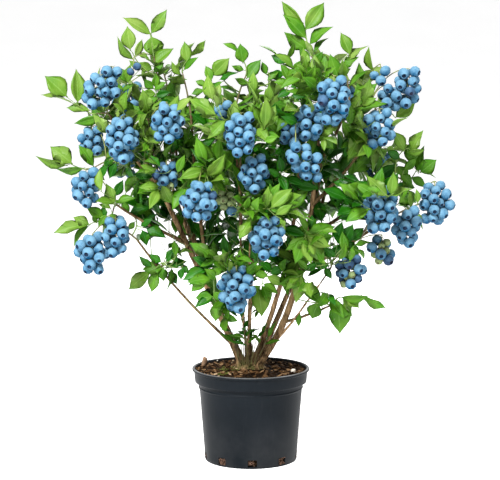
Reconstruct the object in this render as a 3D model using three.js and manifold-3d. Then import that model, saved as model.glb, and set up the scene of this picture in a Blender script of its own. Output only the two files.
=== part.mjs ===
// A highbush blueberry bush in its nursery pot.
// Millimetres, +Z up; the front is -Y and the right is +X.
// The origin is the centre of the pot's flat underside.
import * as THREE from 'three';
import { mergeVertices } from 'three/addons/utils/BufferGeometryUtils.js';
import Module from 'manifold-3d';

const wasm = await Module();
wasm.setup();

// ---- driving dimensions ----

const GAP = 0.3; // clearance between pieces that meet
const FINEST_EDGE = 0.02;
const GOLDEN_ANGLE = Math.PI * (3 - Math.sqrt(5));
const UP = new THREE.Vector3(0, 0, 1);

const POT = {
  height: 135,
  rimRadius: 85,
  lipHeight: 4,
  collarRadius: 82.5,
  collarFoot: 81,
  collarHeight: 20,
  shoulder: 5,
  bodyRadius: 76,
  ridgeDrop: 8,
  ridgeHeight: 1.6,
  ridgeProud: 0.8,
  baseRadius: 66.5,
  wall: 2.2,
  floor: 3,
  facets: 24,
};

const DRAIN = { count: 9, width: 13, height: 9, sill: 2.2, depth: 14, turn: 0.8 };

const SOIL = { rimDrop: 6, plateauDrop: 3, plateauRadius: 38, shelf: 12, shelfRise: 2, facets: 18 };
const SOIL_TOP = POT.height - SOIL.plateauDrop;

// The woody root crown that the canes rise from, and its surface roots.
const CROWN = {
  centre: [-2, 0],
  widthRatio: 0.8,
  facets: 10,
  profile: [[24, 0], [20, 4], [17.5, 10], [14.5, 16], [8, 20]],
  top: 21,
};
const ROOT = { count: 5, turn: 0.35, reach: 31, shortReach: 27, rise: 0.45, radius: 6.5, taper: 0.72 };

// A limb: its name, what it grows from and how far along, its tip, how far its middle
// bows outward and lies low, and its radius at foot and tip.
const CANE_BUILD = { sides: 6, steps: 5, flare: 0.3 };
const CANES = [
  { name: 'cane_left', foot: [-11, -2, 137], tip: [-150, -35, 440], bow: -6, radii: [5.8, 2.9] },
  { name: 'cane_right', foot: [8, 0, 137], tip: [98, -20, 545], bow: 42, low: 106, radii: [5.9, 2.4] },
  { name: 'cane_right_inner', foot: [2, 4, 137], tip: [70, 20, 440], bow: 32, radii: [4.4, 2.2] },
  { name: 'cane_centre', foot: [-5, 4, 137], tip: [-22, -25, 505], bow: 6, radii: [3.0, 1.8] },
  { name: 'cane_front', foot: [-4, -7, 137], tip: [0, -95, 345], bow: 8, radii: [2.7, 1.7] },
  { name: 'cane_back_left', foot: [-9, 8, 137], tip: [-120, 75, 405], bow: 14, radii: [4.6, 2.3] },
  { name: 'cane_back_right', foot: [7, 8, 137], tip: [120, 80, 410], bow: 14, radii: [4.6, 2.3] },
  { name: 'cane_back', foot: [-1, 9, 137], tip: [0, 90, 400], bow: 16, radii: [3.6, 2.0] },
  { name: 'cane_right_thin', foot: [6, -7, 137], tip: [112, -50, 285], bow: 6, radii: [2.3, 1.5] },
];

const BOUGH_BUILD = { sides: 4, steps: 3, flare: 0.2 };
const FLARE_FADE = 14;
const BOUGHS = [
  { name: 'bough_left_second', on: 'cane_left', at: 0.32,
    tip: [-130, -10, 540], bow: 16, radii: [4.2, 1.9] },
  { name: 'bough_left_third', on: 'cane_left', at: 0.36,
    tip: [-84, -32, 500], bow: 6, radii: [3.0, 1.7] },
  { name: 'bough_left_brow', on: 'cane_left', at: 0.86,
    tip: [-198, -28, 500], bow: 10, radii: [2.6, 1.6] },
  { name: 'bough_left_flank', on: 'cane_left', at: 0.6,
    tip: [-188, -50, 376], bow: 10, radii: [2.6, 1.6] },
  { name: 'bough_left_low', on: 'cane_left', at: 0.1,
    tip: [-160, -46, 326], bow: 14, radii: [2.8, 1.5] },
  { name: 'bough_right_brow', on: 'cane_right', at: 0.8,
    tip: [140, -8, 525], bow: 12, radii: [2.4, 1.6] },
  { name: 'bough_right_shoulder', on: 'cane_right', at: 0.69,
    tip: [178, -26, 486], bow: 14, radii: [2.6, 1.6] },
  { name: 'bough_right_flank', on: 'cane_right', at: 0.59,
    tip: [202, -20, 412], bow: 14, radii: [2.8, 1.6] },
  { name: 'bough_right_outer', on: 'cane_right', at: 0.47,
    tip: [186, -45, 352], bow: 10, radii: [2.8, 1.6] },
  { name: 'bough_right_foot', on: 'cane_right', at: 0.26,
    tip: [112, -45, 232], bow: 10, radii: [2.2, 1.4] },
  { name: 'bough_centre_front', on: 'cane_centre', at: 0.52,
    tip: [-14, -108, 440], bow: 8, radii: [2.4, 1.6] },
  { name: 'bough_back_left_high', on: 'cane_back_left', at: 0.6,
    tip: [-115, 55, 505], bow: 10, radii: [2.8, 1.7] },
  { name: 'bough_back_right_high', on: 'cane_back_right', at: 0.6,
    tip: [110, 60, 510], bow: 10, radii: [2.8, 1.7] },
];

// A mass of foliage: the limb that its stem leaves and how far along, the points that its
// leading shoots reach (the first is the end of its stem), and its trusses of fruit, each
// with its centre and its full number of berries.
const MASSES = [
  { name: 'foliage_left_brow', on: 'bough_left_brow', at: 1,
    tips: [[-294, -15, 535], [-244, -20, 568], [-200, 20, 580]], trusses: [[-205, -62, 541, 13]] },
  { name: 'foliage_left_shoulder', on: 'cane_left', at: 1,
    tips: [[-315, -25, 441], [-277, 15, 466], [-272, -60, 430]], trusses: [[-226, -12, 462, 8]] },
  { name: 'foliage_left_breast', on: 'cane_left', at: 0.8,
    tips: [[-145, -125, 545], [-215, -130, 505], [-95, -150, 530]],
    trusses: [[-176, -112, 471, 15], [-113, -130, 495, 12]] },
  { name: 'foliage_left_flank', on: 'bough_left_flank', at: 1,
    tips: [[-285, -60, 395], [-235, -110, 440], [-265, 5, 375]], trusses: [[-229, -72, 403, 10]] },
  { name: 'foliage_left_low', on: 'bough_left_low', at: 1,
    tips: [[-279, -50, 343], [-215, -20, 365], [-252, -80, 295]],
    trusses: [[-219, -90, 309, 9], [-185, -90, 337, 8]] },
  { name: 'foliage_left_foot', on: 'bough_left_low', at: 0.72,
    tips: [[-176, -40, 257], [-146, -40, 248], [-190, -10, 290]], trusses: [] },
  { name: 'foliage_left_heel', on: 'cane_left', at: 0.24,
    tips: [[-74, -75, 242], [-56, -60, 214], [-100, -60, 265]], trusses: [] },
  { name: 'foliage_left_heart', on: 'bough_left_second', at: 0.5,
    tips: [[-112, -135, 445], [-88, -105, 472], [-150, -115, 392]], trusses: [[-116, -92, 420, 7]] },
  { name: 'foliage_left_crest', on: 'bough_left_second', at: 1,
    tips: [[-134, 5, 645], [-176, -5, 637], [-116, -15, 646], [-165, 40, 590]],
    trusses: [[-163, -40, 566, 2]] },
  { name: 'foliage_left_crest_inner', on: 'bough_left_third', at: 1,
    tips: [[-61, -25, 605], [-93, -35, 605], [-75, -85, 560]], trusses: [] },
  { name: 'foliage_centre_left_front', on: 'bough_left_third', at: 0.55,
    tips: [[-55, -175, 455], [-105, -170, 375], [-40, -120, 430]],
    trusses: [[-69, -158, 392, 13], [-34, -80, 384, 6]] },
  { name: 'foliage_centre_crest', on: 'cane_centre', at: 1,
    tips: [[-18, -40, 606], [-38, -60, 598], [14, -50, 600], [25, 15, 570]], trusses: [] },
  { name: 'foliage_centre_high_front', on: 'bough_centre_front', at: 1,
    tips: [[-20, -170, 545], [25, -165, 505], [-55, -175, 500]],
    trusses: [[-13, -160, 481, 13], [-38, -118, 512, 3]] },
  { name: 'foliage_centre_front', on: 'cane_centre', at: 0.62,
    tips: [[40, -130, 450], [-10, -170, 440], [45, -110, 400]], trusses: [[4, -130, 427, 10]] },
  { name: 'foliage_centre_low_front', on: 'cane_front', at: 1,
    tips: [[10, -180, 395], [60, -160, 375], [-30, -150, 345]], trusses: [[22, -150, 342, 13]] },
  { name: 'foliage_centre_foot', on: 'cane_front', at: 0.6,
    tips: [[-60, -105, 310], [-45, -155, 305], [20, -130, 290]], trusses: [[-20, -112, 266, 15]] },
  { name: 'foliage_right_crest', on: 'cane_right', at: 1,
    tips: [[101, -5, 658], [42, 0, 655], [111, 15, 632], [45, 30, 616]], trusses: [] },
  { name: 'foliage_right_crest_front', on: 'cane_right', at: 0.9,
    tips: [[85, -150, 585], [134, -160, 573], [60, -120, 560]], trusses: [[106, -150, 528, 16]] },
  { name: 'foliage_right_breast', on: 'cane_right_inner', at: 1,
    tips: [[60, -165, 515], [25, -140, 465], [115, -150, 465]],
    trusses: [[80, -112, 494, 9], [54, -98, 479, 5], [72, -140, 444, 10]] },
  { name: 'foliage_right_brow', on: 'bough_right_brow', at: 1,
    tips: [[126, 0, 618], [168, 5, 605], [150, -45, 590]], trusses: [] },
  { name: 'foliage_right_shoulder', on: 'bough_right_shoulder', at: 1,
    tips: [[205, 0, 590], [255, -30, 560], [180, -75, 580]],
    trusses: [[181, -40, 556, 3], [219, -42, 542, 9], [196, -40, 525, 5]] },
  { name: 'foliage_right_upper_front', on: 'bough_right_shoulder', at: 0.62,
    tips: [[150, -130, 520], [215, -125, 500], [165, -140, 455]], trusses: [[177, -92, 486, 11]] },
  { name: 'foliage_right_flank', on: 'bough_right_flank', at: 1,
    tips: [[266, 0, 449], [238, 15, 482], [230, -25, 518], [266, -30, 416]], trusses: [] },
  { name: 'foliage_right_front', on: 'bough_right_outer', at: 0.7,
    tips: [[165, -170, 425], [215, -165, 400], [125, -150, 390]], trusses: [[177, -130, 378, 16]] },
  { name: 'foliage_right_outer', on: 'bough_right_outer', at: 1,
    tips: [[296, -30, 385], [250, -105, 395], [285, 10, 345]],
    trusses: [[227, -92, 353, 9], [258, -50, 379, 14]] },
  { name: 'foliage_right_low', on: 'cane_right_thin', at: 1,
    tips: [[228, -60, 300], [165, -105, 325], [120, -110, 270]],
    trusses: [[184, -60, 312, 8], [139, -60, 281, 11]] },
  { name: 'foliage_right_low_front', on: 'cane_right', at: 0.43,
    tips: [[90, -130, 335], [60, -110, 300], [125, -120, 330]], trusses: [] },
  { name: 'foliage_right_foot', on: 'bough_right_foot', at: 1,
    tips: [[192, -40, 226], [130, -60, 198], [88, -60, 208]], trusses: [] },
  { name: 'foliage_back_left_high', on: 'bough_back_left_high', at: 1,
    tips: [[-150, 90, 600], [-225, 70, 545], [-90, 110, 575], [-75, 55, 600]],
    trusses: [[-180, 105, 515, 11]] },
  { name: 'foliage_back_left', on: 'cane_back_left', at: 1,
    tips: [[-255, 65, 430], [-200, 135, 465], [-225, 90, 345], [-150, 145, 415]],
    trusses: [[-200, 105, 415, 12]] },
  { name: 'foliage_back_centre_high', on: 'cane_back', at: 1,
    tips: [[-10, 105, 575], [50, 140, 520], [-55, 145, 515], [0, 55, 550]],
    trusses: [[-25, 145, 468, 12]] },
  { name: 'foliage_back_centre', on: 'cane_back', at: 0.66,
    tips: [[20, 170, 420], [-60, 150, 385], [70, 145, 365], [-20, 140, 305]],
    trusses: [[22, 140, 352, 12]] },
  { name: 'foliage_back_right_high', on: 'bough_back_right_high', at: 1,
    tips: [[130, 90, 610], [205, 80, 560], [70, 95, 600], [170, 120, 520]],
    trusses: [[150, 112, 515, 12]] },
  { name: 'foliage_back_right', on: 'cane_back_right', at: 1,
    tips: [[255, 65, 440], [190, 135, 460], [225, 90, 350], [130, 140, 430]],
    trusses: [[195, 105, 408, 12]] },
];

// Growth sizes of the foliage.
const REACH = 66; // how far a leaf may stand from its mass's stem, shoots and trusses
const STEM = { foot: 2.8, end: 1.5, steps: 3, bend: 0.45, forkBend: 0.2, straighten: 0.4 };
const SHOOT = { foot: 1.25, end: 1.0, steps: 1, rise: 5, firstAt: 0.38, spacing: 0.19 };
const SIDE_SHOOT = { count: 1, tries: 10, lean: 0.95, length: 82, firstAt: 0.3, stretch: 0.6 };
const LEAF = {
  length: 56,
  halfWidth: 14,
  widest: 0.44,
  ridgeAt: 0.62,
  ridgeDrop: 0.5,
  keelAt: 0.25,
  keel: 1.2,
  droop: 4,
};
const LEAF_SETTING = {
  lean: 0.95,
  step: 12,
  firstAt: 12,
  leafy: 63,
  shortest: 0.8,
  clearance: 1,
  rise: 0.5,
};
const LIGHT = { wide: 0.25, middle: 30, out: 0.8, up: 0.6 };
const BERRY = { radius: 9.5, share: 0.225, pedicel: 0.8 };
const TRUSS = {
  bellyBase: 11,
  bellyGrowth: 1.6,
  heightBase: 10,
  heightGrowth: 2.2,
  stalk: 1,
  rachis: 1.9,
  sag: 3,
  seats: [0.3, 0.4, 0.5, 0.6, 0.7, 0.8, 0.9],
};
const CHORD = 9; // the longest stretch of a twig that is tested at once
const BEAD_SPACING = 3; // along a limb, where leaves are kept clear of it
const FIRST_SEED = 1009;
const SEED_STEP = 97;

// ---- solids ----

function toSolid(geometry) {
  const bare = new THREE.BufferGeometry();
  bare.setAttribute('position', geometry.attributes.position);
  bare.setIndex(geometry.index);
  const merged = mergeVertices(bare, 1e-4);
  const corners = merged.index.array;
  const triVerts = [];
  for (let i = 0; i < corners.length; i += 3) {
    const [a, b, c] = corners.slice(i, i + 3);
    if (a !== b && b !== c && c !== a) {
      triVerts.push(a, b, c);
    }
  }
  return new wasm.Manifold(new wasm.Mesh({
    numProp: 3,
    vertProperties: Float32Array.from(merged.attributes.position.array),
    triVerts: Uint32Array.from(triVerts),
  }));
}

function toGeometry(solid) {
  const mesh = solid.getMesh();
  const geometry = new THREE.BufferGeometry();
  geometry.setAttribute('position', new THREE.BufferAttribute(mesh.vertProperties, 3));
  geometry.setIndex(new THREE.BufferAttribute(mesh.triVerts, 1));
  geometry.computeVertexNormals();
  return geometry;
}

// The biggest body of a cut or joined solid: loose scraps and sealed hollows are dropped.
function mainBody(solid) {
  const bodies = solid.decompose();
  return bodies.reduce((best, body) => (body.volume() > best.volume() ? body : best));
}

function boxesMeet(a, b) {
  const [first, second] = [a.boundingBox(), b.boundingBox()];
  return first.min.every((low, i) => low < second.max[i] && second.min[i] < first.max[i]);
}

function cutClear(solid, cutters) {
  const near = cutters.filter((cutter) => boxesMeet(solid, cutter));
  return near.reduce((rest, cutter) => rest.subtract(cutter), solid);
}

// Turns a profile of [radius, height] pairs round the Z axis.
function turned(profile, facets) {
  const points = profile.map(([radius, height]) => new THREE.Vector2(radius, height));
  return new THREE.LatheGeometry(points, facets).rotateX(Math.PI / 2);
}

// A tapering limb along a curve, closed by flat ends, rolled so that a face of its last
// ring looks along the facing direction.
function sweep(curve, radiusAt, sides, steps, facing = UP) {
  const tube = new THREE.CylinderGeometry(1, 1, 1, sides, steps);
  const frames = curve.computeFrenetFrames(steps, false);
  const [side, face] = [frames.normals[steps], frames.binormals[steps]];
  const roll = Math.atan2(-facing.dot(side), facing.dot(face));
  const place = tube.attributes.position;
  for (let i = 0; i < place.count; i += 1) {
    const ring = Math.round((place.getY(i) + 0.5) * steps);
    const radius = radiusAt(ring / steps);
    const [x, z] = [place.getX(i) * radius, -place.getZ(i) * radius];
    const point = curve.getPointAt(ring / steps);
    point.addScaledVector(frames.normals[ring], x * Math.cos(roll) - z * Math.sin(roll));
    point.addScaledVector(frames.binormals[ring], x * Math.sin(roll) + z * Math.cos(roll));
    place.setXYZ(i, point.x, point.y, point.z);
  }
  return tube;
}

// ---- pot and potting mix ----

function potSolid() {
  const top = POT.height;
  const collarFoot = top - POT.collarHeight;
  const ridge = collarFoot - POT.ridgeDrop;
  const ridgeRadius = POT.bodyRadius - 1;
  const outer = [
    [0, 0],
    [POT.baseRadius, 0],
    [ridgeRadius, ridge - POT.ridgeHeight],
    [ridgeRadius + POT.ridgeProud, ridge],
    [POT.bodyRadius, collarFoot - POT.shoulder / 2],
    [POT.collarFoot, collarFoot],
    [POT.collarRadius, top - POT.lipHeight],
    [POT.rimRadius, top - POT.lipHeight * 0.7],
    [POT.rimRadius, top],
  ];
  const inner = [
    [POT.collarRadius - POT.wall, top],
    [POT.collarFoot - POT.wall, collarFoot + POT.shoulder],
    [POT.bodyRadius - POT.wall, collarFoot - POT.shoulder / 2],
    [POT.baseRadius - POT.wall, POT.floor],
    [0, POT.floor],
  ];
  let pot = toSolid(turned([...outer, ...inner], POT.facets));
  for (let i = 0; i < DRAIN.count; i += 1) {
    const notch = new THREE.BoxGeometry(DRAIN.depth, DRAIN.width, DRAIN.height);
    notch.translate(POT.baseRadius, 0, DRAIN.sill + POT.floor / 2 + DRAIN.height / 2);
    notch.rotateZ(((i + DRAIN.turn) * 2 * Math.PI) / DRAIN.count);
    pot = pot.subtract(toSolid(notch));
  }
  return pot;
}

function soilSolid() {
  const inside = POT.wall + GAP;
  const collarFoot = POT.height - POT.collarHeight;
  const facetSlack = 1 / Math.cos(Math.PI / POT.facets);
  const profile = [
    [0, POT.floor + GAP],
    [POT.baseRadius - inside, POT.floor + GAP],
    [POT.bodyRadius - inside, collarFoot - POT.shoulder / 2],
    [POT.collarFoot - inside, collarFoot + POT.shoulder],
    [POT.collarFoot - inside + 0.5, POT.height - SOIL.rimDrop],
    [POT.collarFoot - inside - SOIL.shelf, POT.height - SOIL.rimDrop + SOIL.shelfRise],
    [SOIL.plateauRadius, SOIL_TOP],
    [0, SOIL_TOP],
  ];
  const shrunk = profile.map(([radius, height]) => [radius / facetSlack, height]);
  return toSolid(turned(shrunk, SOIL.facets));
}

// ---- root crown, canes and boughs ----

function crownSolid(grow) {
  const foot = SOIL_TOP + GAP;
  const [x, y] = CROWN.centre;
  const profile = CROWN.profile.map(([radius, height]) => [radius + grow, height]);
  const stool = turned([[0, 0], ...profile, [0, CROWN.top + grow]], CROWN.facets);
  stool.scale(1, CROWN.widthRatio, 1);
  stool.translate(x, y, foot);
  let crown = toSolid(stool);
  for (let i = 0; i < ROOT.count; i += 1) {
    const turn = ((i + ROOT.turn) * 2 * Math.PI) / ROOT.count;
    const reach = i % 2 ? ROOT.reach : ROOT.shortReach;
    const start = new THREE.Vector3(x, y, foot + CROWN.top * ROOT.rise);
    const out = new THREE.Vector3(Math.cos(turn), Math.sin(turn) * CROWN.widthRatio, 0);
    const end = new THREE.Vector3(x, y, foot).addScaledVector(out, reach);
    const knee = start.clone().addScaledVector(out, reach / 2);
    const path = new THREE.QuadraticBezierCurve3(start, knee, end);
    const radiusAt = (u) => grow + ROOT.radius * (1 - ROOT.taper * u);
    crown = crown.add(toSolid(sweep(path, radiusAt, 5, 2)));
  }
  const ground = new THREE.BoxGeometry(POT.rimRadius * 2, POT.rimRadius * 2, POT.collarHeight);
  ground.translate(x, y, foot - POT.collarHeight / 2 - grow);
  return crown.subtract(toSolid(ground));
}

// A limb's course: from its foot to its tip, its middle bowed outward and down.
function limbCourse(foot, tip, bow, low = 0) {
  const out = new THREE.Vector3(tip.x - foot.x, tip.y - foot.y, 0).normalize();
  const middle = foot.clone().lerp(tip, 0.5).addScaledVector(out, bow).addScaledVector(UP, -low);
  return new THREE.QuadraticBezierCurve3(foot, middle, tip);
}

// A limb tapers evenly, and flares where it springs from what bears it.
function limbRadius(limb, u) {
  const [foot, tip] = limb.radii;
  const flare = 1 + limb.flare * Math.exp(-u * FLARE_FADE);
  return (foot + (tip - foot) * u) * flare;
}

function limbSolid(limb, grow) {
  const radiusAt = (u) => limbRadius(limb, u) + grow;
  return toSolid(sweep(limb.course, radiusAt, limb.sides, limb.steps));
}

function growLimbs() {
  const limbs = new Map();
  for (const cane of CANES) {
    const foot = new THREE.Vector3(...cane.foot);
    const course = limbCourse(foot, new THREE.Vector3(...cane.tip), cane.bow, cane.low);
    limbs.set(cane.name, { ...cane, ...CANE_BUILD, course });
  }
  for (const bough of BOUGHS) {
    const foot = limbs.get(bough.on).course.getPoint(bough.at);
    const course = limbCourse(foot, new THREE.Vector3(...bough.tip), bough.bow);
    limbs.set(bough.name, { ...bough, ...BOUGH_BUILD, course });
  }
  return limbs;
}

const limbs = growLimbs();

// ---- growth of the foliage ----

function distanceToLimb(point, limb) {
  let nearest = Infinity;
  for (const bead of limb.beads) {
    nearest = Math.min(nearest, point.distanceTo(bead.point) - bead.radius);
  }
  return nearest;
}

for (const limb of limbs.values()) {
  const count = Math.ceil(limb.course.getLength() / BEAD_SPACING);
  limb.beads = Array.from({ length: count + 1 }, (unused, i) => ({
    point: limb.course.getPointAt(i / count),
    radius: limbRadius(limb, i / count),
  }));
}

// A repeatable source of numbers from 0 to 1.
function seeded(seed) {
  let state = seed;
  return () => {
    state = (state * 16807) % 2147483647;
    return state / 2147483647;
  };
}

function planMass(row) {
  const limb = limbs.get(row.on);
  const seat = limb.course.getPoint(row.at);
  const heading = limb.course.getTangent(row.at);
  const tips = row.tips.map((tip) => new THREE.Vector3(...tip));
  const reach = seat.distanceTo(tips[0]);
  const knee = seat.clone().addScaledVector(heading, reach * (row.at === 1 ? STEM.bend : STEM.forkBend));
  knee.lerp(seat.clone().lerp(tips[0], 0.5), STEM.straighten);
  const start = row.at === 1 ? seat.clone().addScaledVector(heading, GAP) : seat;
  const end = tips[0].clone().sub(knee).setLength(-LEAF.length).add(tips[0]);
  const stem = new THREE.QuadraticBezierCurve3(start, knee, end);
  const trusses = row.trusses.map(([x, y, z, berries]) => (
    { centre: new THREE.Vector3(x, y, z), berries }
  ));
  const seeds = [0, 0.2, 0.4, 0.6, 0.8, 1].map((u) => stem.getPoint(u));
  for (const tip of tips) {
    seeds.push(stem.getPoint(0.6).lerp(tip, 0.5));
    seeds.push(stem.getPoint(0.6).lerp(tip, 0.9));
  }
  for (const truss of trusses) {
    seeds.push(truss.centre);
  }
  return { ...row, limb, stem, tips, trusses, seeds };
}

const plans = MASSES.map(planMass);

// True where the balls round the points are nearer to one and the same seed of the mass
// than to each foreign seed, so that the solid between them keeps to the mass's own space.
function keepsToSpace(points, radius, plan) {
  const foreign = plans.filter((other) => other !== plan).flatMap((other) => other.seeds);
  const clearOf = (other) => plan.seeds.some((own) => {
    const slack = 2 * (GAP + radius) * own.distanceTo(other);
    return points.every((p) => p.distanceToSquared(own) + slack < p.distanceToSquared(other));
  });
  const withinReach = points.every((p) => plan.seeds.some((own) => p.distanceTo(own) < REACH));
  return withinReach && foreign.every(clearOf);
}

// The rings that a twig is swept through, and a place on the straight chords between them.
function ringsOf(course, steps) {
  return Array.from({ length: steps + 1 }, (unused, i) => course.getPointAt(i / steps));
}

function placeOnTwig(twig, u) {
  const ring = Math.min(Math.floor(u * twig.steps), twig.steps - 1);
  const [start, end] = [twig.rings[ring], twig.rings[ring + 1]];
  const heading = end.clone().sub(start).normalize();
  return { point: start.clone().lerp(end, u * twig.steps - ring), heading };
}

function twigKeepsToSpace(rings, radius, plan) {
  return rings.slice(1).every((ring, i) => {
    const pieces = Math.ceil(ring.distanceTo(rings[i]) / CHORD);
    const beadAt = (unused, k) => rings[i].clone().lerp(ring, k / pieces);
    const beads = Array.from({ length: pieces + 1 }, beadAt);
    return beads.slice(1).every((bead, k) => keepsToSpace([beads[k], bead], radius, plan));
  });
}

function clearOfLimbs(points, halfWidth) {
  return [...limbs.values()].every((limb) => (
    points.every((point) => distanceToLimb(point, limb) > halfWidth + LEAF_SETTING.clearance)
  ));
}

// The corners of a leaf: root, right, left, ridge, keel and tip.
function leafCorners(root, direction, upper, length) {
  const across = new THREE.Vector3().crossVectors(upper, direction).normalize();
  const normal = new THREE.Vector3().crossVectors(direction, across);
  const size = length / LEAF.length;
  const corner = (along, aside, height) => root.clone()
    .addScaledVector(direction, along * length)
    .addScaledVector(across, aside * size)
    .addScaledVector(normal, height * size);
  return [
    root.clone(),
    corner(LEAF.widest, -LEAF.halfWidth, 0),
    corner(LEAF.widest, LEAF.halfWidth, 0),
    corner(LEAF.ridgeAt, 0, -LEAF.ridgeDrop),
    corner(LEAF.keelAt, 0, -LEAF.keel),
    corner(1, 0, -LEAF.droop),
  ];
}

const LEAF_FACES = [0, 1, 2, 1, 3, 2, 1, 5, 3, 3, 5, 2, 0, 2, 4, 0, 4, 1, 4, 2, 5, 4, 5, 1];

// Adds a leaf where it keeps to its space and touches only the twig that bears it.
function addLeaf({ plan, pieces }, twig, root, direction, upper, length) {
  const corners = leafCorners(root, direction, upper, length);
  const tip = corners[corners.length - 1];
  const spine = [0.3, 0.5, 0.7, 1].map((u) => root.clone().lerp(tip, u));
  if (!keepsToSpace(corners, 0, plan) || !clearOfLimbs(spine, LEAF.halfWidth * 0.6)) {
    return false;
  }
  const geometry = new THREE.BufferGeometry().setFromPoints(corners);
  geometry.setIndex(LEAF_FACES);
  const leaf = toSolid(geometry);
  const free = pieces.every((piece) => piece === twig.solid || leaf.intersect(piece).isEmpty());
  if (free) {
    pieces.push(leaf);
  }
  return free;
}

// The way that leaves turn their upper sides: up, and out from the bush's long middle.
function lightAt({ x, y }) {
  const outward = new THREE.Vector3(x * LIGHT.wide, y - LIGHT.middle, 0).normalize();
  return outward.multiplyScalar(LIGHT.out).addScaledVector(UP, LIGHT.up);
}

// A three-sided twig, which its leaves then take as their bearer.
function addTwig({ plan, pieces }, course, { foot, end, steps }) {
  const rings = ringsOf(course, steps);
  if (!twigKeepsToSpace(rings, foot, plan)) {
    return null;
  }
  const twig = { rings, steps, length: course.getLength(), end };
  const { point, heading } = placeOnTwig(twig, 1);
  twig.light = lightAt(point);
  twig.facing = twig.light.clone().addScaledVector(heading, -heading.dot(twig.light)).normalize();
  twig.solid = toSolid(sweep(course, (u) => foot + (end - foot) * u, 3, steps, twig.facing));
  pieces.push(twig.solid);
  return twig;
}

function addEndLeaf(mass, twig) {
  const { point, heading } = placeOnTwig(twig, 1);
  const root = point.clone().addScaledVector(heading, -twig.end);
  addLeaf(mass, twig, root, heading, twig.facing, LEAF.length);
}

// Leaves along a twig's leafy end, each on the first of its three faces that has room.
function addSideLeaves(mass, twig, random) {
  const { lean, step, firstAt, leafy, shortest, rise } = LEAF_SETTING;
  let face = Math.floor(random() * 3);
  for (let run = Math.max(firstAt, twig.length - leafy); run < twig.length - step / 2; run += step) {
    const { point, heading } = placeOnTwig(twig, run / twig.length);
    const length = LEAF.length * (shortest + (1 - shortest) * random());
    const placed = [0, 1, 2].some((skip) => {
      const across = twig.facing.clone().applyAxisAngle(heading, ((face + skip) * 2 * Math.PI) / 3);
      across.addScaledVector(heading, -heading.dot(across)).normalize();
      const direction = heading.clone().multiplyScalar(Math.cos(lean));
      direction.addScaledVector(across, Math.sin(lean));
      const upper = heading.clone().multiplyScalar(rise).add(twig.light);
      return addLeaf(mass, twig, point, direction, upper, length);
    });
    face += placed ? 1 : 0;
  }
}

// A shoot's course from its foot to where its end leaf's tip stands, curving upward.
function shootCourse(foot, tip) {
  const end = tip.clone().sub(foot).setLength(-LEAF.length).add(tip);
  const knee = foot.clone().lerp(end, 0.5).addScaledVector(UP, -SHOOT.rise);
  return new THREE.QuadraticBezierCurve3(foot, knee, end);
}

function nearestOnTwig(twig, point) {
  const places = TRUSS.seats.map((u) => placeOnTwig(twig, u).point);
  const nearer = (a, b) => (b.distanceTo(point) < a.distanceTo(point) ? b : a);
  return places.reduce(nearer);
}

// A berry with the middle of one of its faces turned to its stalk.
function berrySolid(centre, stalkFoot) {
  const berry = new THREE.IcosahedronGeometry(BERRY.radius, 0);
  const faceMiddle = new THREE.Vector3(1, 1, 1).normalize();
  const toStalk = stalkFoot.clone().sub(centre).normalize();
  berry.applyQuaternion(new THREE.Quaternion().setFromUnitVectors(faceMiddle, toStalk));
  berry.translate(centre.x, centre.y, centre.z);
  berry.setIndex([...Array(berry.attributes.position.count).keys()]);
  return toSolid(berry);
}

// A truss: a stalk that bends down from the stem, with berries round it on short stalks.
function addTruss({ plan, pieces }, stem, truss, random) {
  const others = [...pieces];
  const count = Math.max(2, Math.round(truss.berries * BERRY.share));
  const height = TRUSS.heightBase + TRUSS.heightGrowth * truss.berries;
  const belly = TRUSS.bellyBase + TRUSS.bellyGrowth * Math.sqrt(truss.berries);
  const top = truss.centre.clone().addScaledVector(UP, height / 2);
  const bottom = truss.centre.clone().addScaledVector(UP, -height / 2);
  const stalks = [
    [new THREE.LineCurve3(nearestOnTwig(stem, top), top), TRUSS.stalk],
    [new THREE.LineCurve3(top.clone().addScaledVector(UP, 1), bottom), TRUSS.rachis],
  ];
  if (!stalks.every(([course, radius]) => twigKeepsToSpace(ringsOf(course, 1), radius, plan))) {
    return;
  }
  stalks.forEach(([course, radius]) => pieces.push(toSolid(sweep(course, () => radius, 3, 1))));
  const phase = random() * 2 * Math.PI;
  for (let k = 0; k < count; k += 1) {
    const down = (k + 0.6) / count;
    const turn = phase + k * GOLDEN_ANGLE;
    const axis = top.clone().lerp(bottom, down - 0.1);
    const out = new THREE.Vector3(Math.cos(turn), Math.sin(turn), 0);
    const centre = axis.clone().addScaledVector(out, belly).addScaledVector(UP, -TRUSS.sag);
    const berry = berrySolid(centre, axis);
    const free = others.every((other) => berry.intersect(other).isEmpty());
    if (free && clearOfLimbs([centre], BERRY.radius) && keepsToSpace([centre], BERRY.radius, plan)) {
      const pedicel = sweep(new THREE.LineCurve3(axis, centre), () => BERRY.pedicel, 3, 1);
      pieces.push(berry, toSolid(pedicel));
      others.push(berry);
    }
  }
}

// The tip that a shoot off a mass's stem reaches for by the seeded rule.
function sideTip({ point, heading }, random) {
  const across = new THREE.Vector3().crossVectors(heading, new THREE.Vector3(1, 1, 1)).normalize();
  across.applyAxisAngle(heading, random() * 2 * Math.PI);
  const tip = point.clone().addScaledVector(heading, SIDE_SHOOT.length * Math.cos(SIDE_SHOOT.lean));
  return tip.addScaledVector(across, SIDE_SHOOT.length * Math.sin(SIDE_SHOOT.lean));
}

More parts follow.
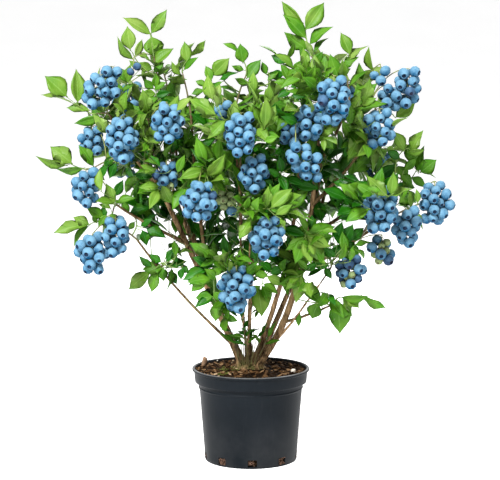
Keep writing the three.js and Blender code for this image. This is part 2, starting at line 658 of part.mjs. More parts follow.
// Shoots off the stem in seeded directions, until there are enough or the tries run out.
function growSideShoots(mass, stem, random) {
  const grown = [];
  for (let i = 0; i < SIDE_SHOOT.tries && grown.length < SIDE_SHOOT.count; i += 1) {
    const place = placeOnTwig(stem, SIDE_SHOOT.firstAt + SIDE_SHOOT.stretch * random());
    const tip = sideTip(place, random);
    const roomy = mass.plan.tips.every((other) => other.distanceTo(tip) > LEAF.length * 0.7);
    const shoot = roomy && addTwig(mass, shootCourse(place.point, tip), SHOOT);
    if (shoot) {
      grown.push(shoot);
    }
  }
  return grown;
}

function massSolid(plan, index) {
  const random = seeded(FIRST_SEED + SEED_STEP * index);
  const mass = { plan, pieces: [] };
  const stem = addTwig(mass, plan.stem, STEM);
  const leading = plan.tips.slice(1).map((tip, i) => {
    const { point } = placeOnTwig(stem, SHOOT.firstAt + SHOOT.spacing * i);
    return addTwig(mass, shootCourse(point, tip), SHOOT);
  });
  const twigs = [stem, ...leading.filter(Boolean), ...growSideShoots(mass, stem, random)];
  twigs.forEach((twig) => addEndLeaf(mass, twig));
  plan.trusses.forEach((truss) => addTruss(mass, stem, truss, random));
  twigs.forEach((twig) => addSideLeaves(mass, twig, random));
  return wasm.Manifold.union(mass.pieces);
}

// ---- assembly ----

const FINISHES = {
  plastic: { color: 0x33373b, roughness: 0.55, metalness: 0 },
  soil: { color: 0x4a3423, roughness: 0.95, metalness: 0 },
  bark: { color: 0x7a6244, roughness: 0.85, metalness: 0 },
  leaf: { color: 0x4f8a2c, roughness: 0.5, metalness: 0 },
};

const bush = new THREE.Group();

function addNode(name, solid, finish) {
  const material = new THREE.MeshStandardMaterial(FINISHES[finish]);
  const mesh = new THREE.Mesh(toGeometry(solid), material);
  mesh.name = name;
  bush.add(mesh);
}

addNode('pot', potSolid(), 'plastic');
addNode('potting_mix', soilSolid(), 'soil');
addNode('root_crown', mainBody(crownSolid(0)), 'bark');

// Each limb is cut clear of what has grown before it, and each mass of every limb.
const cutters = [crownSolid(GAP)];
for (const limb of limbs.values()) {
  addNode(limb.name, mainBody(cutClear(limbSolid(limb, 0), cutters)), 'bark');
  cutters.push(limbSolid(limb, GAP));
}

plans.forEach((plan, index) => {
  const whole = cutClear(massSolid(plan, index), cutters).simplify(FINEST_EDGE);
  addNode(plan.name, mainBody(whole), 'leaf');
});

export default bush;
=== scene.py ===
import math
from collections import namedtuple
from functools import partialmethod
from itertools import product
from types import SimpleNamespace as Sizes

import bpy
import numpy as np
from mathutils import Euler, Matrix, Quaternion, Vector
from mathutils.kdtree import KDTree


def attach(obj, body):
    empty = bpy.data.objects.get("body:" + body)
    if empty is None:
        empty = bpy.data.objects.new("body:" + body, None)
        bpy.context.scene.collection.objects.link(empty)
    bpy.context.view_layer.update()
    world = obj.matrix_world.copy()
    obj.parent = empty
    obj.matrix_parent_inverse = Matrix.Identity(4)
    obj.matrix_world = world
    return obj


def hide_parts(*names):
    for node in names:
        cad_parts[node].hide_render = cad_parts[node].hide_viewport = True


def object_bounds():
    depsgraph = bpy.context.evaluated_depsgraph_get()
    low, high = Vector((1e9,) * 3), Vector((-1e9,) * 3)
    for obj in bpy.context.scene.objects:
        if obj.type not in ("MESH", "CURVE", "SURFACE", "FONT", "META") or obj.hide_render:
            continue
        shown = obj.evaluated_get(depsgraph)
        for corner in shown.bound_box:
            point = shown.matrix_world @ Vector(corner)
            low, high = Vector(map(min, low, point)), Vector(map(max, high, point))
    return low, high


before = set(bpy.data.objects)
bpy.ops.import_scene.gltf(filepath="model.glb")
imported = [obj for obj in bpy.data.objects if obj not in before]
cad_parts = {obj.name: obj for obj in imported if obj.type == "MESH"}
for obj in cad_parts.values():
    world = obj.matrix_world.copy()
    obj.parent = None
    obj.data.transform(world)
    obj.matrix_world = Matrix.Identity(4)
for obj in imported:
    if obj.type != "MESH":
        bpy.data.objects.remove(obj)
cad_box = [list(corner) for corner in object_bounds()]

MM = 0.001
UP = Vector((0, 0, 1))
GOLDEN_ANGLE = math.pi * (3 - math.sqrt(5))
BOX_SLACK = 4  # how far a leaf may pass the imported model's box

# ---- the plant's frame, as in the part's source ----

CROWN_MIDDLE = (-2, 0)
SOIL_TOP = 132

# Each cane: foot, tip, how far its middle bows outward and lies low, radius at foot and tip.
CANES = {
    "cane_left": ((-11, -2, 137), (-150, -35, 440), -6, 0, (5.8, 2.9)),
    "cane_right": ((8, 0, 137), (98, -20, 545), 42, 106, (5.9, 2.4)),
    "cane_right_inner": ((2, 4, 137), (70, 20, 440), 32, 0, (4.4, 2.2)),
    "cane_centre": ((-5, 4, 137), (-22, -25, 505), 6, 0, (2.5, 1.6)),
    "cane_front": ((-4, -7, 137), (0, -95, 345), 8, 0, (2.2, 1.5)),
    "cane_back_left": ((-9, 8, 137), (-120, 75, 405), 14, 0, (4.6, 2.3)),
    "cane_back_right": ((7, 8, 137), (120, 80, 410), 14, 0, (4.6, 2.3)),
    "cane_back": ((-1, 9, 137), (0, 90, 400), 16, 0, (3.6, 2.0)),
    "cane_right_thin": ((6, -7, 137), (112, -50, 285), 6, 0, (2.3, 1.5)),
}

# Each bough: what it springs from, how far along, tip, bow, radius at foot and tip.
BOUGHS = {
    "bough_left_second": ("cane_left", 0.32, (-130, -10, 540), 16, (4.2, 1.9)),
    "bough_left_third": ("cane_left", 0.36, (-84, -32, 500), 6, (3.0, 1.7)),
    "bough_left_brow": ("cane_left", 0.86, (-198, -28, 500), 10, (2.6, 1.6)),
    "bough_left_flank": ("cane_left", 0.6, (-188, -50, 376), 10, (2.6, 1.6)),
    "bough_left_low": ("cane_left", 0.1, (-160, -46, 326), 14, (2.3, 1.4)),
    "bough_right_brow": ("cane_right", 0.8, (140, -8, 525), 12, (2.4, 1.6)),
    "bough_right_shoulder": ("cane_right", 0.69, (178, -26, 486), 14, (2.6, 1.6)),
    "bough_right_flank": ("cane_right", 0.59, (202, -20, 412), 14, (2.8, 1.6)),
    "bough_right_outer": ("cane_right", 0.47, (186, -45, 352), 10, (2.8, 1.6)),
    "bough_right_foot": ("cane_right", 0.26, (112, -45, 232), 10, (2.2, 1.4)),
    "bough_centre_front": ("cane_centre", 0.52, (-14, -108, 440), 8, (2.4, 1.6)),
    "bough_back_left_high": ("cane_back_left", 0.6, (-115, 55, 505), 10, (2.8, 1.7)),
    "bough_back_right_high": ("cane_back_right", 0.6, (110, 60, 510), 10, (2.8, 1.7)),
}
FLARE = {"cane": 0.22, "bough": 0.35}
FLARE_FADE = 14

# Each mass: the limb that bears it and how far along, its leading tips, and its trusses:
# centre, berries and, where they aren't the usual ones, the shares still green and dusky.
MASSES = {
    "left_brow": ("bough_left_brow", 1,
        [(-294, -15, 535), (-247, 0, 572), (-268, 5, 553), (-200, 20, 580)],
        [(-205, -62, 541, 13)]),
    "left_shoulder": ("cane_left", 1, [(-315, -25, 441), (-277, 15, 466), (-272, -60, 430)],
        [(-226, -12, 462, 8)]),
    "left_breast": ("cane_left", 0.8, [(-145, -125, 545), (-215, -130, 505), (-95, -150, 530)],
        [(-176, -112, 471, 15), (-113, -130, 495, 12)]),
    "left_flank": ("bough_left_flank", 1, [(-285, -60, 395), (-235, -110, 440), (-265, 5, 375)],
        [(-229, -72, 403, 10)]),
    "left_low": ("bough_left_low", 1, [(-279, -50, 343), (-215, -20, 365), (-252, -80, 295)],
        [(-219, -90, 312, 12), (-187, -92, 337, 11)]),
    "left_foot": ("bough_left_low", 0.72,
        [(-176, -40, 250), (-146, -40, 240), (-190, -10, 290), (-160, -60, 262)], []),
    "left_heel": ("cane_left", 0.24, [(-74, -75, 242), (-56, -60, 214), (-100, -60, 265)], []),
    "left_heart": ("bough_left_second", 0.5,
        [(-112, -135, 445), (-88, -105, 472), (-150, -115, 392)], [(-116, -92, 420, 7, 0.1, 0.3)]),
    "left_crest": ("bough_left_second", 1,
        [(-134, 5, 645), (-176, -5, 637), (-116, -15, 646), (-174, -10, 600)],
        [(-163, -55, 566, 2, 0, 1)]),
    "left_crest_inner": ("bough_left_third", 1,
        [(-61, -25, 605), (-93, -35, 605), (-58, -60, 545)], []),
    "centre_left_front": ("bough_left_third", 0.55,
        [(-55, -175, 455), (-95, -175, 408), (-40, -120, 430)],
        [(-69, -158, 392, 13), (-34, -80, 384, 6, 0.4, 0.2)]),
    "centre_crest": ("cane_centre", 1,
        [(-18, -40, 606), (-38, -60, 598), (14, -50, 600), (32, -10, 574)], []),
    "centre_high_front": ("bough_centre_front", 1,
        [(-20, -170, 545), (25, -165, 505), (-55, -175, 500)],
        [(-13, -160, 481, 13), (-38, -118, 512, 3)]),
    "centre_front": ("cane_centre", 0.62, [(40, -130, 450), (-10, -170, 440), (45, -110, 400)],
        [(4, -130, 427, 10)]),
    "centre_low_front": ("cane_front", 1, [(10, -180, 395), (60, -160, 375), (-30, -150, 345)],
        [(22, -150, 342, 13)]),
    "centre_foot": ("cane_front", 0.6,
        [(-60, -105, 310), (-45, -155, 305), (20, -130, 290), (8, -115, 258)],
        [(-20, -112, 266, 15)]),
    "right_crest": ("cane_right", 1, [(42, 0, 656), (101, -5, 658), (111, 15, 632), (50, 20, 612)],
        []),
    "right_crest_front": ("cane_right", 0.9, [(85, -150, 585), (134, -160, 573), (60, -120, 560)],
        [(111, -150, 526, 16)]),
    "right_breast": ("cane_right_inner", 1, [(60, -165, 515), (25, -140, 465), (115, -150, 465)],
        [(80, -112, 494, 9), (54, -98, 479, 5), (72, -140, 444, 10)]),
    "right_brow": ("bough_right_brow", 1, [(126, 0, 618), (168, 5, 605), (150, -45, 590)], []),
    "right_shoulder": ("bough_right_shoulder", 1,
        [(205, 0, 590), (255, -30, 560), (180, -75, 580)],
        [(181, -40, 556, 3), (219, -42, 542, 9), (196, -40, 525, 5)]),
    "right_upper_front": ("bough_right_shoulder", 0.62,
        [(150, -130, 520), (215, -125, 500), (165, -140, 455)], [(177, -92, 486, 11)]),
    "right_flank": ("bough_right_flank", 1,
        [(266, 0, 449), (238, 15, 482), (230, -25, 518), (266, -30, 416)], []),
    "right_front": ("bough_right_outer", 0.7,
        [(165, -170, 425), (215, -165, 400), (125, -150, 390)], [(177, -130, 378, 16)]),
    "right_outer": ("bough_right_outer", 1, [(296, -30, 385), (250, -105, 395), (285, 10, 345)],
        [(216, -92, 350, 10, 0.08, 0.08), (258, -50, 379, 14)]),
    "right_low": ("cane_right_thin", 1, [(228, -60, 300), (165, -105, 325), (120, -110, 270)],
        [(184, -60, 312, 8, 0.6, 0.1), (139, -60, 281, 11, 0.25, 0.6)]),
    "right_low_front": ("cane_right", 0.43,
        [(90, -130, 335), (60, -110, 300), (125, -120, 330), (40, -100, 262)], []),
    "right_foot": ("bough_right_foot", 1,
        [(192, -40, 222), (130, -60, 194), (88, -60, 202), (104, -80, 240), (80, -50, 255)], []),
    "back_left_high": ("bough_back_left_high", 1,
        [(-150, 90, 600), (-225, 70, 545), (-90, 110, 575), (-75, 55, 600)],
        [(-180, 105, 515, 11)]),
    "back_left": ("cane_back_left", 1,
        [(-255, 65, 430), (-200, 135, 465), (-225, 90, 345), (-150, 145, 415)],
        [(-188, 105, 428, 12)]),
    "back_centre_high": ("cane_back", 1,
        [(-10, 105, 575), (50, 140, 520), (-55, 145, 515), (0, 55, 550)], [(-25, 145, 468, 12)]),
    "back_centre": ("cane_back", 0.66,
        [(20, 170, 420), (-60, 150, 385), (70, 145, 365), (-20, 140, 305)], [(22, 140, 352, 12)]),
    "back_right_high": ("bough_back_right_high", 1,
        [(130, 90, 610), (205, 80, 560), (70, 95, 600), (170, 120, 520)], [(150, 112, 515, 12)]),
    "back_right": ("cane_back_right", 1,
        [(255, 65, 440), (190, 135, 460), (225, 90, 350), (130, 140, 430)], [(195, 105, 408, 12)]),
}

# Leading sprigs that stand out past the full crown: mass, depth, middle, end, and each
# leaf's root and tip (x, z), how far it is turned edge on and how broad it is, in hundredths.
SPRIGS = [
    ("left_crest", -10, (-137, 583), (-142, 616), [
        (-140, 616, -118, 647, 50, 100), (-142, 614, -177, 637, 15, 95),
        (-140, 610, -135, 581, 0, 190), (-143, 578, -159, 589, 30, 120),
        (-136, 572, -111, 595, 35, 100), (-140, 564, -160, 574, 10, 130),
        (-137, 561, -123, 574, 20, 110), (-139, 592, -128, 605, 50, 90)]),
    ("left_crest", -15, (-154, 569), (-167, 589), [
        (-170, 593, -174, 624, 0, 125), (-166, 579, -191, 607, 80, 90),
        (-163, 584, -153, 606, 40, 100), (-174, 547, -170, 571, 10, 120),
        (-157, 564, -170, 578, 40, 100)]),
    ("left_crest", -40, (-127, 517), (-134, 539), [
        (-136, 539, -151, 551, 20, 130), (-134, 537, -119, 548, 20, 120),
        (-133, 531, -154, 532, 10, 130), (-132, 528, -113, 534, 20, 120),
        (-130, 525, -147, 520, 20, 120), (-129, 521, -111, 520, 30, 110),
        (-134, 541, -132, 559, 30, 120)]),
    ("left_crest_inner", -25, (-96, 560), (-89, 578), [
        (-89, 575, -93, 603, 0, 125), (-86, 584, -62, 603, 80, 90), (-94, 564, -75, 582, 30, 100),
        (-97, 550, -89, 551, 50, 100), (-99, 557, -113, 575, 45, 100),
        (-101, 544, -117, 553, 30, 100)]),
    ("left_crest_inner", -35, (-63, 539), (-55, 556), [
        (-53, 557, -31, 580, 0, 145), (-55, 550, -63, 570, 10, 130), (-62, 542, -77, 550, 20, 120),
        (-60, 542, -43, 536, 10, 140), (-66, 536, -83, 532, 20, 120),
        (-63, 539, -60, 521, 30, 120)]),
    ("centre_crest", -30, (-7, 556), (-12, 581), [
        (-18, 589, -37, 605, 60, 100), (-11, 575, -15, 600, 0, 150), (-5, 553, 13, 578, 10, 110),
        (-10, 564, -26, 570, 30, 100), (-5, 545, -22, 552, 50, 100)]),
    ("centre_crest", -40, (-33, 545), (-40, 556), [
        (-43, 551, -19, 563, 25, 110), (-40, 548, -54, 539, 40, 100)]),
    ("centre_crest", -20, (24, 544), (24, 561), [
        (22, 558, 16, 575, 30, 110), (24, 550, 40, 564, 30, 100)]),
    ("right_crest", -5, (86, 583), (77, 623), [
        (78, 621, 103, 658, 10, 100), (77, 609, 47, 641, 10, 95), (73, 631, 43, 658, 75, 90),
        (84, 600, 111, 628, 40, 100), (79, 593, 47, 616, 35, 100), (90, 589, 107, 612, 75, 90),
        (84, 578, 67, 595, 20, 110), (90, 572, 101, 589, 20, 120)]),
    ("right_crest", -15, (57, 564), (43, 581), [
        (41, 582, 14, 599, 60, 90), (51, 574, 29, 586, 10, 130), (51, 579, 61, 602, 70, 90),
        (47, 558, 22, 557, 30, 110), (60, 561, 73, 578, 20, 110)]),
    ("right_crest", -60, (57, 523), (52, 551), [
        (52, 551, 42, 573, 20, 110), (52, 550, 67, 569, 20, 110), (53, 546, 32, 551, 20, 120),
        (55, 541, 74, 548, 20, 120), (56, 536, 37, 528, 20, 120), (57, 530, 76, 528, 20, 120),
        (57, 525, 46, 512, 30, 110)]),
    ("right_brow", -5, (128, 566), (138, 585), [
        (140, 586, 128, 616, 10, 110), (137, 578, 164, 600, 35, 100),
        (131, 568, 151, 583, 20, 110), (126, 564, 119, 581, 30, 100),
        (127, 558, 141, 566, 30, 120)]),
    ("right_brow", -20, (104, 550), (104, 564), [
        (102, 556, 105, 585, 0, 110), (104, 550, 90, 567, 20, 110)]),
    ("right_shoulder", -10, (164, 533), (174, 558), [
        (174, 562, 164, 595, 70, 100), (158, 550, 152, 574, 45, 110),
        (167, 538, 150, 544, 50, 100)]),
    ("right_shoulder", -60, (141, 507), (144, 515), [
        (142, 516, 174, 547, 0, 115), (144, 507, 186, 522, 15, 110),
        (152, 523, 148, 546, 30, 120)]),
    ("right_shoulder", -25, (194, 505), (202, 499), [
        (205, 498, 231, 518, 0, 110), (197, 505, 191, 525, 50, 100)]),
    ("right_flank", -10, (219, 405), (236, 422), [
        (239, 419, 243, 458, 40, 100), (242, 419, 263, 436, 0, 160), (242, 419, 265, 415, 85, 80),
        (228, 432, 229, 463, 0, 130), (223, 411, 209, 428, 20, 120), (215, 402, 235, 396, 30, 120),
        (218, 422, 235, 439, 30, 110), (212, 399, 225, 379, 20, 130),
        (216, 405, 201, 385, 30, 120), (219, 393, 236, 373, 15, 130),
        (229, 411, 250, 398, 20, 120), (213, 415, 232, 401, 20, 140)]),
    ("right_flank", -20, (208, 440), (223, 454), [
        (227, 451, 241, 479, 0, 120), (217, 451, 203, 477, 5, 120), (211, 440, 193, 450, 30, 110),
        (223, 448, 245, 451, 40, 100)]),
    ("left_brow", -15, (-218, 502), (-248, 517), [
        (-261, 527, -289, 555, 0, 140), (-245, 519, -246, 564, 5, 105),
        (-252, 517, -295, 534, 75, 75), (-229, 507, -260, 513, 50, 100),
        (-212, 498, -249, 488, 60, 80), (-217, 499, -228, 482, 30, 100)]),
    ("left_brow", -10, (-183, 527), (-177, 544), [
        (-174, 547, -184, 567, 10, 120), (-183, 533, -166, 544, 30, 100),
        (-180, 536, -197, 544, 40, 100)]),
    ("left_shoulder", -25, (-223, 426), (-255, 432), [
        (-254, 433, -282, 457, 0, 145), (-262, 430, -303, 439, 50, 75),
        (-237, 426, -279, 420, 60, 70), (-223, 429, -240, 459, 35, 110),
        (-220, 423, -207, 409, 30, 100), (-202, 430, -213, 410, 20, 130),
        (-190, 433, -200, 412, 15, 130), (-207, 429, -193, 443, 30, 120)]),
    ("left_flank", -60, (-193, 367), (-206, 360), [
        (-206, 359, -228, 374, 0, 120), (-202, 363, -213, 347, 30, 110),
        (-197, 364, -183, 353, 20, 120), (-204, 361, -206, 377, 20, 120)]),
    ("left_flank", -30, (-196, 381), (-196, 387), [
        (-196, 378, -204, 398, 20, 120), (-194, 387, -179, 408, 50, 100),
        (-196, 375, -183, 381, 20, 120), (-196, 372, -212, 380, 30, 110)]),
    ("left_low", -50, (-205, 352), (-226, 349), [
        (-228, 348, -276, 342, 45, 72), (-228, 349, -249, 359, 10, 130),
        (-228, 346, -251, 318, 45, 80), (-216, 350, -222, 363, 50, 100)]),
    ("left_low", -40, (-161, 351), (-172, 362), [
        (-170, 364, -141, 373, 10, 120), (-172, 364, -182, 382, 30, 100),
        (-155, 345, -139, 356, 20, 120), (-147, 342, -120, 331, 10, 110),
        (-153, 339, -146, 317, 20, 130), (-164, 351, -175, 338, 30, 110)]),
    ("left_foot", -40, (-125, 291), (-141, 279), [
        (-143, 279, -175, 255, 5, 115), (-133, 281, -142, 251, 5, 120),
        (-125, 285, -153, 285, 5, 150), (-127, 285, -123, 267, 10, 170),
        (-120, 285, -108, 294, 30, 120), (-119, 294, -104, 315, 40, 100),
        (-113, 288, -91, 297, 20, 130), (-112, 285, -116, 254, 60, 90),
        (-127, 294, -144, 305, 20, 120), (-116, 279, -105, 262, 20, 130),
        (-141, 288, -158, 302, 30, 110)]),
    ("left_foot", -45, (-105, 286), (-96, 289), [
        (-98, 286, -87, 280, 20, 150), (-105, 294, -109, 312, 30, 110),
        (-96, 286, -99, 270, 30, 130)]),
    ("left_heel", -72, (-51, 258), (-52, 247), [
        (-54, 249, -77, 247, 5, 160), (-54, 246, -75, 237, 20, 130), (-48, 240, -50, 213, 5, 130),
        (-40, 219, -26, 205, 40, 80), (-52, 256, -38, 244, 20, 130)]),
    ("left_heel", -72, (-54, 284), (-59, 287), [
        (-52, 291, -81, 305, 5, 110), (-55, 287, -86, 267, 5, 100), (-54, 284, -69, 267, 10, 110),
        (-58, 290, -95, 277, 30, 90), (-62, 278, -84, 257, 20, 110)]),
    ("right_low_front", -125, (65, 324), (75, 341), [
        (75, 344, 117, 353, 5, 100), (73, 342, 41, 352, 5, 100), (76, 341, 109, 326, 5, 100),
        (73, 339, 48, 323, 10, 100), (75, 338, 82, 305, 10, 105), (76, 338, 103, 301, 15, 95),
        (75, 345, 65, 370, 30, 100), (72, 338, 61, 305, 30, 100)]),
    ("right_low_front", -70, (29, 286), (16, 267), [
        (10, 261, 16, 224, 10, 130), (13, 264, -9, 248, 30, 110), (18, 267, 39, 254, 20, 110),
        (23, 277, 49, 268, 20, 100), (24, 278, 3, 284, 30, 100), (16, 264, 28, 240, 30, 110),
        (29, 284, 13, 298, 10, 130), (28, 281, 46, 291, 10, 130)]),
    ("right_low", -60, (114, 296), (131, 318), [
        (131, 323, 153, 292, 0, 110), (138, 328, 160, 344, 30, 110), (119, 305, 99, 319, 20, 110),
        (110, 291, 84, 296, 30, 100), (105, 288, 113, 271, 50, 100), (124, 311, 142, 313, 30, 110),
        (128, 319, 116, 336, 30, 120), (135, 325, 149, 311, 20, 120),
        (130, 323, 142, 349, 20, 130), (121, 325, 127, 353, 30, 120)]),
    ("right_low", -66, (93, 292), (86, 297), [
        (91, 297, 104, 314, 20, 120), (92, 294, 74, 286, 40, 100), (99, 286, 79, 277, 50, 100)]),
    ("right_foot", -50, (121, 242), (133, 245), [
        (95, 235, 87, 212, 5, 180), (122, 239, 128, 194, 5, 140), (136, 244, 154, 232, 10, 160),
        (130, 244, 146, 217, 40, 110), (129, 245, 165, 247, 60, 80), (158, 247, 189, 228, 60, 80),
        (119, 239, 107, 249, 30, 130)]),
    ("right_foot", -55, (69, 242), (65, 249), [
        (70, 263, 101, 239, 30, 100), (70, 219, 68, 200, 20, 100)]),
]

# Small shoots from the root crown: foot and tip.
SUCKERS = [
    (-14, -12, 140, -24, -26, 190), (-9, -14, 142, -14, -32, 226), (-5, -15, 142, 2, -40, 240),
    (0, -14, 142, 16, -34, 222), (-16, -8, 140, -30, -22, 208), (6, -12, 142, 30, -30, 196),
    (-3, -15, 140, -8, -44, 200), (-10, -12, 140, -26, -34, 172), (-2, -15, 140, -12, -48, 214),
    (-6, -13, 142, -10, -26, 236), (1, -14, 142, 7, -30, 232), (5, -12, 142, 20, -26, 212),
    (-11, -13, 141, -18, -30, 214), (-4, 14, 144, -12, 40, 210), (8, 13, 144, 26, 36, 196),
]

# ---- growth sizes ----

REACH = 66  # how far a mass's leaves may stand from its own places
LEAF_LENGTH = 50
LEAF_GAP = 10.2  # between the middles of two leaves
LEAF_LAYER = Sizes(gap=1.4, thick=2.2)  # wider, between two leaves that lie in one layer
LEAF_CELL = 16  # edge of the boxes that leaves are looked up in
LEAF_SPACING = (9, 13)  # along a twig
LEAF_STATIONS = (0.3, 0.5, 0.75, 1)  # along a leaf, where its way has to be clear
LEAF_EDGES = (-0.2, 0.2)
LEAF_CLEAR = Sizes(limb=3, soil=8, berry=1.6)
LEAF_LEAN = Sizes(out=(0.7, 1.0), more=0.12, most=0.4)  # off its twig, and more inward
LEAF_LIFT = Sizes(above=300, high=0.12, low=-0.35)  # how leaves rise, or hang low down
ROSETTE = Sizes(leaves=4, spacing=(3.5, 6.5))  # the crowded leaves at a twig's end
# Shares of a leaf's full length: at its twig's end, along it, on a short twig (and the
# length that makes up for it), and in the rosette, from the end.
LEAF_SHARE = Sizes(end=(0.66, 1.0), side=(0.64, 1.06), twig=(0.7, 150), rosette=(0.66, 0.13))
# A sprig's leaf is drawn from a little behind its root to a little past its tip.
SPRIG_LEAF = Sizes(back=0.07, length=1.14, breadth=1.02, deeper=0.1, edge_on=1.4)
END_LEAF = 0.75  # how much of its end leaf stands past a shoot's wood
STEM_RADII = (1.7, 0.95)
SHOOT_RADII = (0.85, 0.5)
SPUR_RADII = (0.5, 0.4)
SPRIG_RADII = (1.15, 0.7)
LEAF_STALK_RADII = (0.5, 0.45)
STEM_BEND = Sizes(end=0.45, fork=0.2, straighten=0.4)
STEM_LEAVES = Sizes(reach=70, bare=12)  # back from its end; bare before a sprig
TIP_SHOOTS = Sizes(first=0.38, step=0.19, open_above=380)
SIDE_SHOOTS = Sizes(count=9, led=5, tries=40, length=(34, 74), leaf=0.7,
                    along=(0.22, 0.98), lean=(0.55, 1.15), rise=0.18)
SPURS = Sizes(count=2, length=(20, 38), leaf=0.55, end_leaf=0.8, along=(0.25, 0.8),
              ahead=0.7, aside=0.8, rise=0.15)
INNER_TWIGS = Sizes(spacing=22, lowest=255, behind=400, length=(40, 78), leaf=0.7,
                    ahead=(0.2, 0.8), rise=0.25, reach=98)
SUCKER = Sizes(radii=(0.9, 0.5), end_leaf=22, length=(18, 34), tone=(0.1, 0.7),
               broad=0.56, bare=38, lean=1.1, end_lean=0.1,
               leaves=(0.42, 0.5, 0.58, 0.65, 0.72, 0.79, 0.86, 0.93, 1))
BERRY_RADIUS = 8.1
BERRY_SIZES = Sizes(all=(0.86, 1.08), unripe=0.72)
# A truss: its belly and height and what its berries add, how many berries grow for each one
# counted, up to how many it is small, and how it is packed.
TRUSS = Sizes(belly=(8.5, 1.9), height=(14, 2.5), fullness=1.62, small=3,
              rounds=70, pull=(0.984, 0.984, 0.99), parting_rounds=24, limb_gap=0.6)
# Its stalks: how far the axis reaches past the berries, where it may leave the stem, how it
# bends, and how each berry's own stalk sets off.
STALKS = Sizes(above=6, short=4, joints=[0.3 + 0.05 * i for i in range(14)],
               bend=0.6, rise=0.22, behind=14, drop=7, sink=0.8, arch=2,
               bearer=(0.8, 0.75), axis=(0.75, 0.5), own=(0.45, 0.5))
FRUIT_TURN = Sizes(outward=0.55, side=0.25, up=(-0.4, 0.1))  # of a berry's crowned end
# How berries are kept in sight: how far round them no leaf stands before the plant's front,
# and how much of one may be covered from its own side.
FRUIT_SIGHT = Sizes(front=7, near=30, back_from=40, covered=0.75)
DUSKY_SHARE = 0.012
LEANING_TRUSSES = {(-205, -62, 541): 0.4, (72, -140, 444): -0.45}  # sideways for each mm up
# Painted shade by mass: how much darker its leaves are than their place gives, or (below 0)
# painted lighter.
MASS_SHADE = {"right_front": 0.4, "right_crest_front": 0.3, "right_crest": 0.2,
          "right_low_front": -0.18, "right_breast": 0.1, "centre_front": 0.15,
          "left_brow": 0.08, "left_shoulder": 0.08}
THIN = Sizes(below=405, behind=-50, share=0.42)  # where the shade has thinned the leaves
# What makes a leaf fresher and paler, as young growth and as painted light, and darker deep inside
# as painted shade: how far out it stands in the rounded crown, its height, chance.
CROWN_BODY = Sizes(middle=(0, -5, 395), half=(300, 215, 255), foot=180, height=470)
FRESH_AND_LIT = Sizes(out=1.1, middle=0.5, high=0.2, chance=0.34)

# Where the crown is full: a height, and how far it is full to the left and the right.
# Past it only the leading shoots stand out, with sky between them.
FULL_CROWN = [
    (200, 5, 60), (225, -10, 96), (245, -34, 116), (262, -52, 110), (300, -74, 130),
    (322, -92, 150), (345, -135, 200), (370, -195, 225), (405, -205, 228), (465, -225, 198),
    (520, -212, 185), (600, -200, 170),
]
# Its top, from left to right.
CROWN_TOP = [
    (-244, 520), (-180, 568), (-144, 566), (-115, 542), (-87, 524), (-51, 556), (-15, 484),
    (16, 500), (49, 550), (85, 578), (110, 548), (135, 518), (170, 500), (205, 476), (235, 435),
]
# Gaps right through the crown, as they stand over y = 0 to an eye before it: x, z, reach.
CLEARINGS = [
    (95, 628, 6), (-119, 600, 7), (-111, 582, 8), (-65, 580, 13), (-38, 592, 10), (15, 586, 8),
    (25, 579, 6), (45, 602, 11), (110, 599, 11), (110, 616, 7), (124, 592, 7), (159, 579, 9),
    (-90, 542, 9), (-80, 558, 13), (-25, 569, 6), (-24, 551, 7), (-15, 558, 6), (-14, 539, 9),
    (20, 566, 9), (57, 578, 7), (146, 564, 7), (167, 571, 6), (-254, 458, 10), (221, 478, 8),
    (-251, 418, 8), (-251, 444, 7), (50, 415, 6), (-187, 391, 7), (-258, 332, 8), (-114, 336, 8),
    (-15, 351, 6), (134, 343, 7), (187, 326, 7), (251, 348, 7), (-178, 287, 14), (-162, 304, 8),
    (-155, 294, 7), (-129, 309, 11), (92, 283, 6), (167, 288, 10), (-82, 248, 7), (26, 243, 11),
    (77, 267, 7), (109, 259, 14), (-65, 214, 8), (-51, 195, 6), (-24, 195, 7), (10, 203, 7),
    (26, 229, 6), (57, 191, 9), (82, 200, 8), (82, 232, 6), (109, 210, 7), (75, 185, 10),
    (103, 185, 14),
]
WIDEST_CLEARING = max(reach for _, _, reach in CLEARINGS)
EYE = Vector((0, -2500, 619))
LIGHT = Sizes(wide=0.25, middle=30, out=0.8, up=0.6)
SEEDS = Sizes(limbs=77, masses=1009, mass_step=97, inner=4001, root_crown=311,
              pebbles=61, litter=523)

Berry = namedtuple("Berry", "spot face size roll kind")
Leaf = namedtuple("Leaf", "root direction across normal length tone pick broad")
Truss = namedtuple("Truss", "mass centre height places sizes kinds draw")


def is_full(point):
    """True where the crown is full at a point's height, and under its top."""
    heights, lefts, rights = zip(*FULL_CROWN)
    left, right = (np.interp(point.z, heights, side) for side in (lefts, rights))
    return left < point.x < right and point.z < np.interp(point.x, *zip(*CROWN_TOP))


def in_clearing(tree, point):
    """True where a point stands before or behind one of the crown's gaps."""
    seen = EYE.lerp(point, EYE.y / (EYE.y - point.y))
    found = tree.find_range(Vector((seen.x, 0, seen.z)), WIDEST_CLEARING)
    return any(distance < CLEARINGS[i][2] for _, i, distance in found)


def seeded(seed):
    """A repeatable source of numbers, as the part's source has it."""
    state = seed

    def draw(low=0.0, high=1.0):
        nonlocal state
        state = state * 16807 % 2147483647
        return low + (high - low) * state / 2147483647

    return draw


def scatter(draw, *reach):
    """A vector drawn from a box round zero."""
    return Vector([draw(-r, r) for r in reach])


def bezier(a, b, c):
    return lambda u: a * (1 - u) ** 2 + b * (2 * u * (1 - u)) + c * u ** 2


def sideways(heading, turn):
    """A unit vector square to a heading, turned round it."""
    base = heading.cross(Vector((1, 1, 1))).normalized()
    return Quaternion(heading, turn) @ base


def squared(vector, direction):
    """What is left of a vector square to a direction, as a unit vector."""
    return (vector - direction * direction.dot(vector)).normalized()


